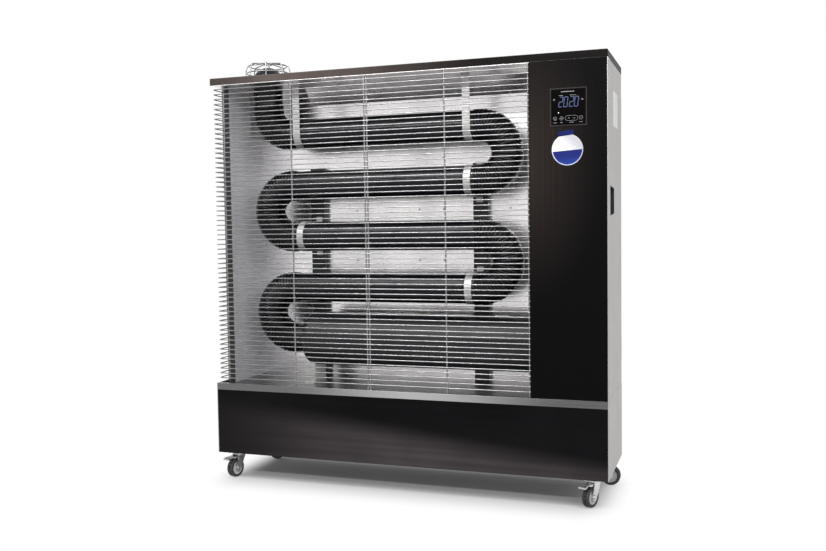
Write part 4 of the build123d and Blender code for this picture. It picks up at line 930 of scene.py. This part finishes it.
def key_marks():
    """The mark on each key: a power sign, a dial, two arrows and a clock, each riding on its own key."""
    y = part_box("key_power")[0].y
    z = 917 * mm
    line = 0.55 * mm

    def mark(key, strokes):
        """One piece of printed strokes that rides on its key."""
        make_piece(f"mark_{key}", strokes, ink_white, f"key_{key}")

    def middle(key):
        """The x half-way across a key."""
        low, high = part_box(f"key_{key}")
        return (low.x + high.x) / 2

    def ring(x, radius):
        """A printed circle of 24 points about x at the keys' middle height."""
        return stroke(arc_points((x, z), radius, 0, 345, 24), line, y, closed=True)

    x = middle("power")
    mark("power", [ring(x, 4.0 * mm), stroke(arc_points((x, z), 2.2 * mm, 130, 410, 20), line, y),
                   stroke([(x, z + 0.6 * mm), (x, z + 2.9 * mm)], line, y)])
    x = middle("mode")
    heights = (z - 1.2 * mm, z, z + 1.2 * mm)
    dial = [stroke([(x - 2.2 * mm, height), (x + 2.2 * mm, height)], line, y) for height in heights]
    mark("mode", [ring(x, 4.0 * mm)] + dial)
    for key, up in (("up", 1), ("down", -1)):
        x = middle(key)
        foot, tip = z - up * 1.1 * mm, z + up * 1.3 * mm
        mark(key, [stroke([(x - 2.4 * mm, foot), (x, tip), (x + 2.4 * mm, foot)], 0.7 * mm, y)])
    x = middle("timer")
    mark("timer", [ring(x, 4.0 * mm), stroke([(x, z + 2.4 * mm), (x, z), (x + 1.7 * mm, z)], line, y)])


# Plain stickers
def stickers():
    """A two-tone disc with a ribbon on the control front, and a bare pale label on the service door."""
    face = front_face
    angle = np.linspace(0, 2 * math.pi, 96, endpoint=False)
    disc = np.array(badge_middle) + badge_radius * np.stack([np.cos(angle), np.sin(angle)], axis=-1)
    make_piece("round_sticker", [plate(disc, on_front(face), (0, -1, 0), 0.3 * mm, 0.1 * mm)], badge_print,
               "root")
    ribbon = rounded_rectangle((-17.5 * mm, -5.6 * mm), (17.5 * mm, 5.6 * mm), 1.2 * mm)
    lean = math.radians(7)
    turn = np.array([[math.cos(lean), -math.sin(lean)], [math.sin(lean), math.cos(lean)]])
    ribbon = ribbon @ turn.T + np.array([424.4 * mm, 882.8 * mm])
    make_piece("sticker_ribbon", [plate(ribbon, on_front(face - 0.05 * mm), (0, -1, 0), 0.45 * mm, 0.1 * mm)],
               ribbon_blue, "root")
    label = rounded_rectangle((-38 * mm, 905 * mm), (50 * mm, 988 * mm), 2 * mm)
    sheet = plate(label, on_side(door_face), (1, 0, 0), 0.15 * mm, 0.05 * mm)
    make_piece("door_label", [sheet], label_pale, "door")


# Screws
def screw_head(place, axis, radius, height):
    """A low dome: its height falls off as the square of the distance from its axis, down to a short rim."""
    share = np.linspace(0, 1, 6)
    dome = [(radius * s, height * (1 - 0.65 * s * s)) for s in share]
    return lathe(dome + [(radius, 0.0)], place, axis, 20)


def screws():
    """Heads in columns and rows on the back reflector, and along the edges of the rear cover.

    The rear cover's heads rise no further than 0.05 mm inside the box of the solids.
    """
    head_rise = 1.2 * mm
    columns = (-300, -205, -20, 50, 235, 300)
    rows = (1012, 856, 718, 579, 441, 290)
    heads = []
    for x in columns:
        for z in rows:
            heads.append(screw_head((x * mm, liner_face, z * mm), (0, -1, 0), 2.6 * mm, head_rise))
    make_piece("reflector_screws", heads, finish["bare_steel"], "root")
    screw_rise = min(head_rise, cad_high.y - rear_high.y - 0.05 * mm)
    heads = []
    edge_gap, end_gap, top_gap, rear_head_radius = 9 * mm, 20 * mm, 110 * mm, 3.4 * mm
    for z in np.linspace(rear_low.z + end_gap, rear_high.z - end_gap, 7):
        for x in (rear_low.x + edge_gap, rear_high.x - edge_gap):
            heads.append(screw_head((x, rear_high.y, z), (0, 1, 0), rear_head_radius, screw_rise))
    top_z = rear_high.z - edge_gap
    for x in np.linspace(rear_low.x + top_gap, rear_high.x - top_gap, 6):
        heads.append(screw_head((x, rear_high.y, top_z), (0, 1, 0), rear_head_radius, screw_rise))
    make_piece("rear_screws", heads, finish["zinc"], "root")


# Building the pieces
guard_wires()
bends = (
    ("bend_right_upper", right_bend_x, 0, 1),
    ("bend_right_lower", right_bend_x, 2, 1),
    ("bend_left_upper", left_bend_x, 1, -1),
    ("bend_left_lower", left_bend_x, 3, -1),
)
for name, x, upper, side in bends:
    middle_height = (axis_heights[upper] + axis_heights[upper + 1]) / 2
    pleated_bend(name, (x, middle_height), side, 0, 180, "return_bends")
pleated_bend("elbow_to_flue", (left_bend_x, axis_heights[0] + bend_radius), -1, 180, -90, "flue_elbow")
flue_cage()
for corner in ("fl", "fr", "rl", "rr"):
    caster_wheel(corner)
display_digits()
display_marks()
key_marks()
stickers()
screws()


# Stage: a pale floor that fades to white, a white surround, soft lights and the camera
def make_floor():
    """A wide floor plane. It is a pale matt surface near the cabinet and plain white further away."""
    half = 20.0
    points = np.array([(-half, -half, 0), (half, -half, 0), (half, half, 0), (-half, half, 0)], float)
    mesh = bpy.data.meshes.new("floor")
    mesh.from_pydata(points.tolist(), [], [(0, 1, 2, 3)])
    material = bpy.data.materials.new("floor_pale")
    material.use_nodes = True
    tree = material.node_tree
    tree.nodes.clear()
    shaded_half_size, fade_rate = (0.44, 0.085, 0), (8.5, 6.2, 0)
    past = vector_maths(
        tree, "SUBTRACT", vector_maths(tree, "ABSOLUTE", object_place(tree)), shaded_half_size
    )
    outside = vector_maths(tree, "MULTIPLY", vector_maths(tree, "MAXIMUM", past), fade_rate)
    far = remap(tree, vector_maths(tree, "LENGTH", outside), 0.0, 1.0)
    matt = add_node(tree, "ShaderNodeBsdfDiffuse", {"Color": (0.44, 0.44, 0.44, 1)}).outputs[0]
    white = add_node(tree, "ShaderNodeEmission", {"Color": (1, 1, 1, 1), "Strength": 1.0}).outputs[0]
    share = maths(tree, "MULTIPLY", far, seen_directly(tree))
    mixed = add_node(tree, "ShaderNodeMixShader", {0: share, 1: matt, 2: white}).outputs[0]
    out = tree.nodes.new("ShaderNodeOutputMaterial")
    tree.links.new(mixed, out.inputs["Surface"])
    mesh.materials.append(material)
    floor = bpy.data.objects.new("floor", mesh)
    bpy.context.scene.collection.objects.link(floor)


def make_surround(level):
    """White where the camera, mirrors or glass look past the object, and the given level as light."""
    world = bpy.data.worlds.new("surround")
    bpy.context.scene.world = world
    world.use_nodes = True
    tree = world.node_tree
    tree.nodes.clear()
    light = add_node(tree, "ShaderNodeBackground", {"Color": (1, 1, 1, 1), "Strength": level}).outputs[0]
    white = add_node(tree, "ShaderNodeBackground", {"Color": (1, 1, 1, 1), "Strength": 1.0}).outputs[0]
    mixed = add_node(tree, "ShaderNodeMixShader", {0: seen_directly(tree), 1: light, 2: white}).outputs[0]
    out = tree.nodes.new("ShaderNodeOutputWorld")
    tree.links.new(mixed, out.inputs["Surface"])


def soft_light(name, place, target, size, power):
    """A rectangular area lamp at a place, turned towards a target."""
    lamp = bpy.data.lights.new(name, "AREA")
    lamp.shape = "RECTANGLE"
    lamp.size, lamp.size_y = size
    lamp.energy = power
    holder = bpy.data.objects.new(name, lamp)
    bpy.context.scene.collection.objects.link(holder)
    holder.location = place
    direction = Vector(target) - Vector(place)
    holder.rotation_euler = direction.to_track_quat("-Z", "Y").to_euler()


def make_camera():
    """The viewpoint of the photograph: a little right of the middle, low, looking left and slightly down."""
    place = (0.7863, -2.2587, 0.6707)
    yaw, pitch, roll = (math.radians(a) for a in (19.272, -3.057, -0.796))
    ahead = np.array([-math.sin(yaw) * math.cos(pitch), math.cos(yaw) * math.cos(pitch), math.sin(pitch)])
    right = np.array([math.cos(yaw), math.sin(yaw), 0.0])
    above = np.cross(right, ahead)
    level_right = math.cos(roll) * right + math.sin(roll) * above
    level_up = -math.sin(roll) * right + math.cos(roll) * above
    data = bpy.data.cameras.new("camera")
    data.sensor_width = 36.0
    data.lens = 39.68
    camera = bpy.data.objects.new("camera", data)
    bpy.context.scene.collection.objects.link(camera)
    turn = Matrix(np.stack([level_right, level_up, -ahead], axis=-1).tolist()).to_4x4()
    camera.matrix_world = Matrix.Translation(place) @ turn
    bpy.context.scene.camera = camera


make_floor()
make_surround(0.7)
soft_light("key_lamp", (-1.2, -2.2, 3.2), (0, 0, 0.7), (1.6, 1.0), 50)
soft_light("fill_lamp", (2.6, -1.6, 1.8), (0.3, 0, 0.6), (1.4, 1.4), 22)
soft_light("top_lamp", (0.0, -1.0, 2.5), (0, 0, 0.7), (2.4, 0.4), 30)
soft_light("streak_lamp", (0.1, -2.5, 1.9), (0, 0, 0.75), (3.6, 0.10), 45)
make_camera()
bpy.context.scene.view_settings.view_transform = "Standard"
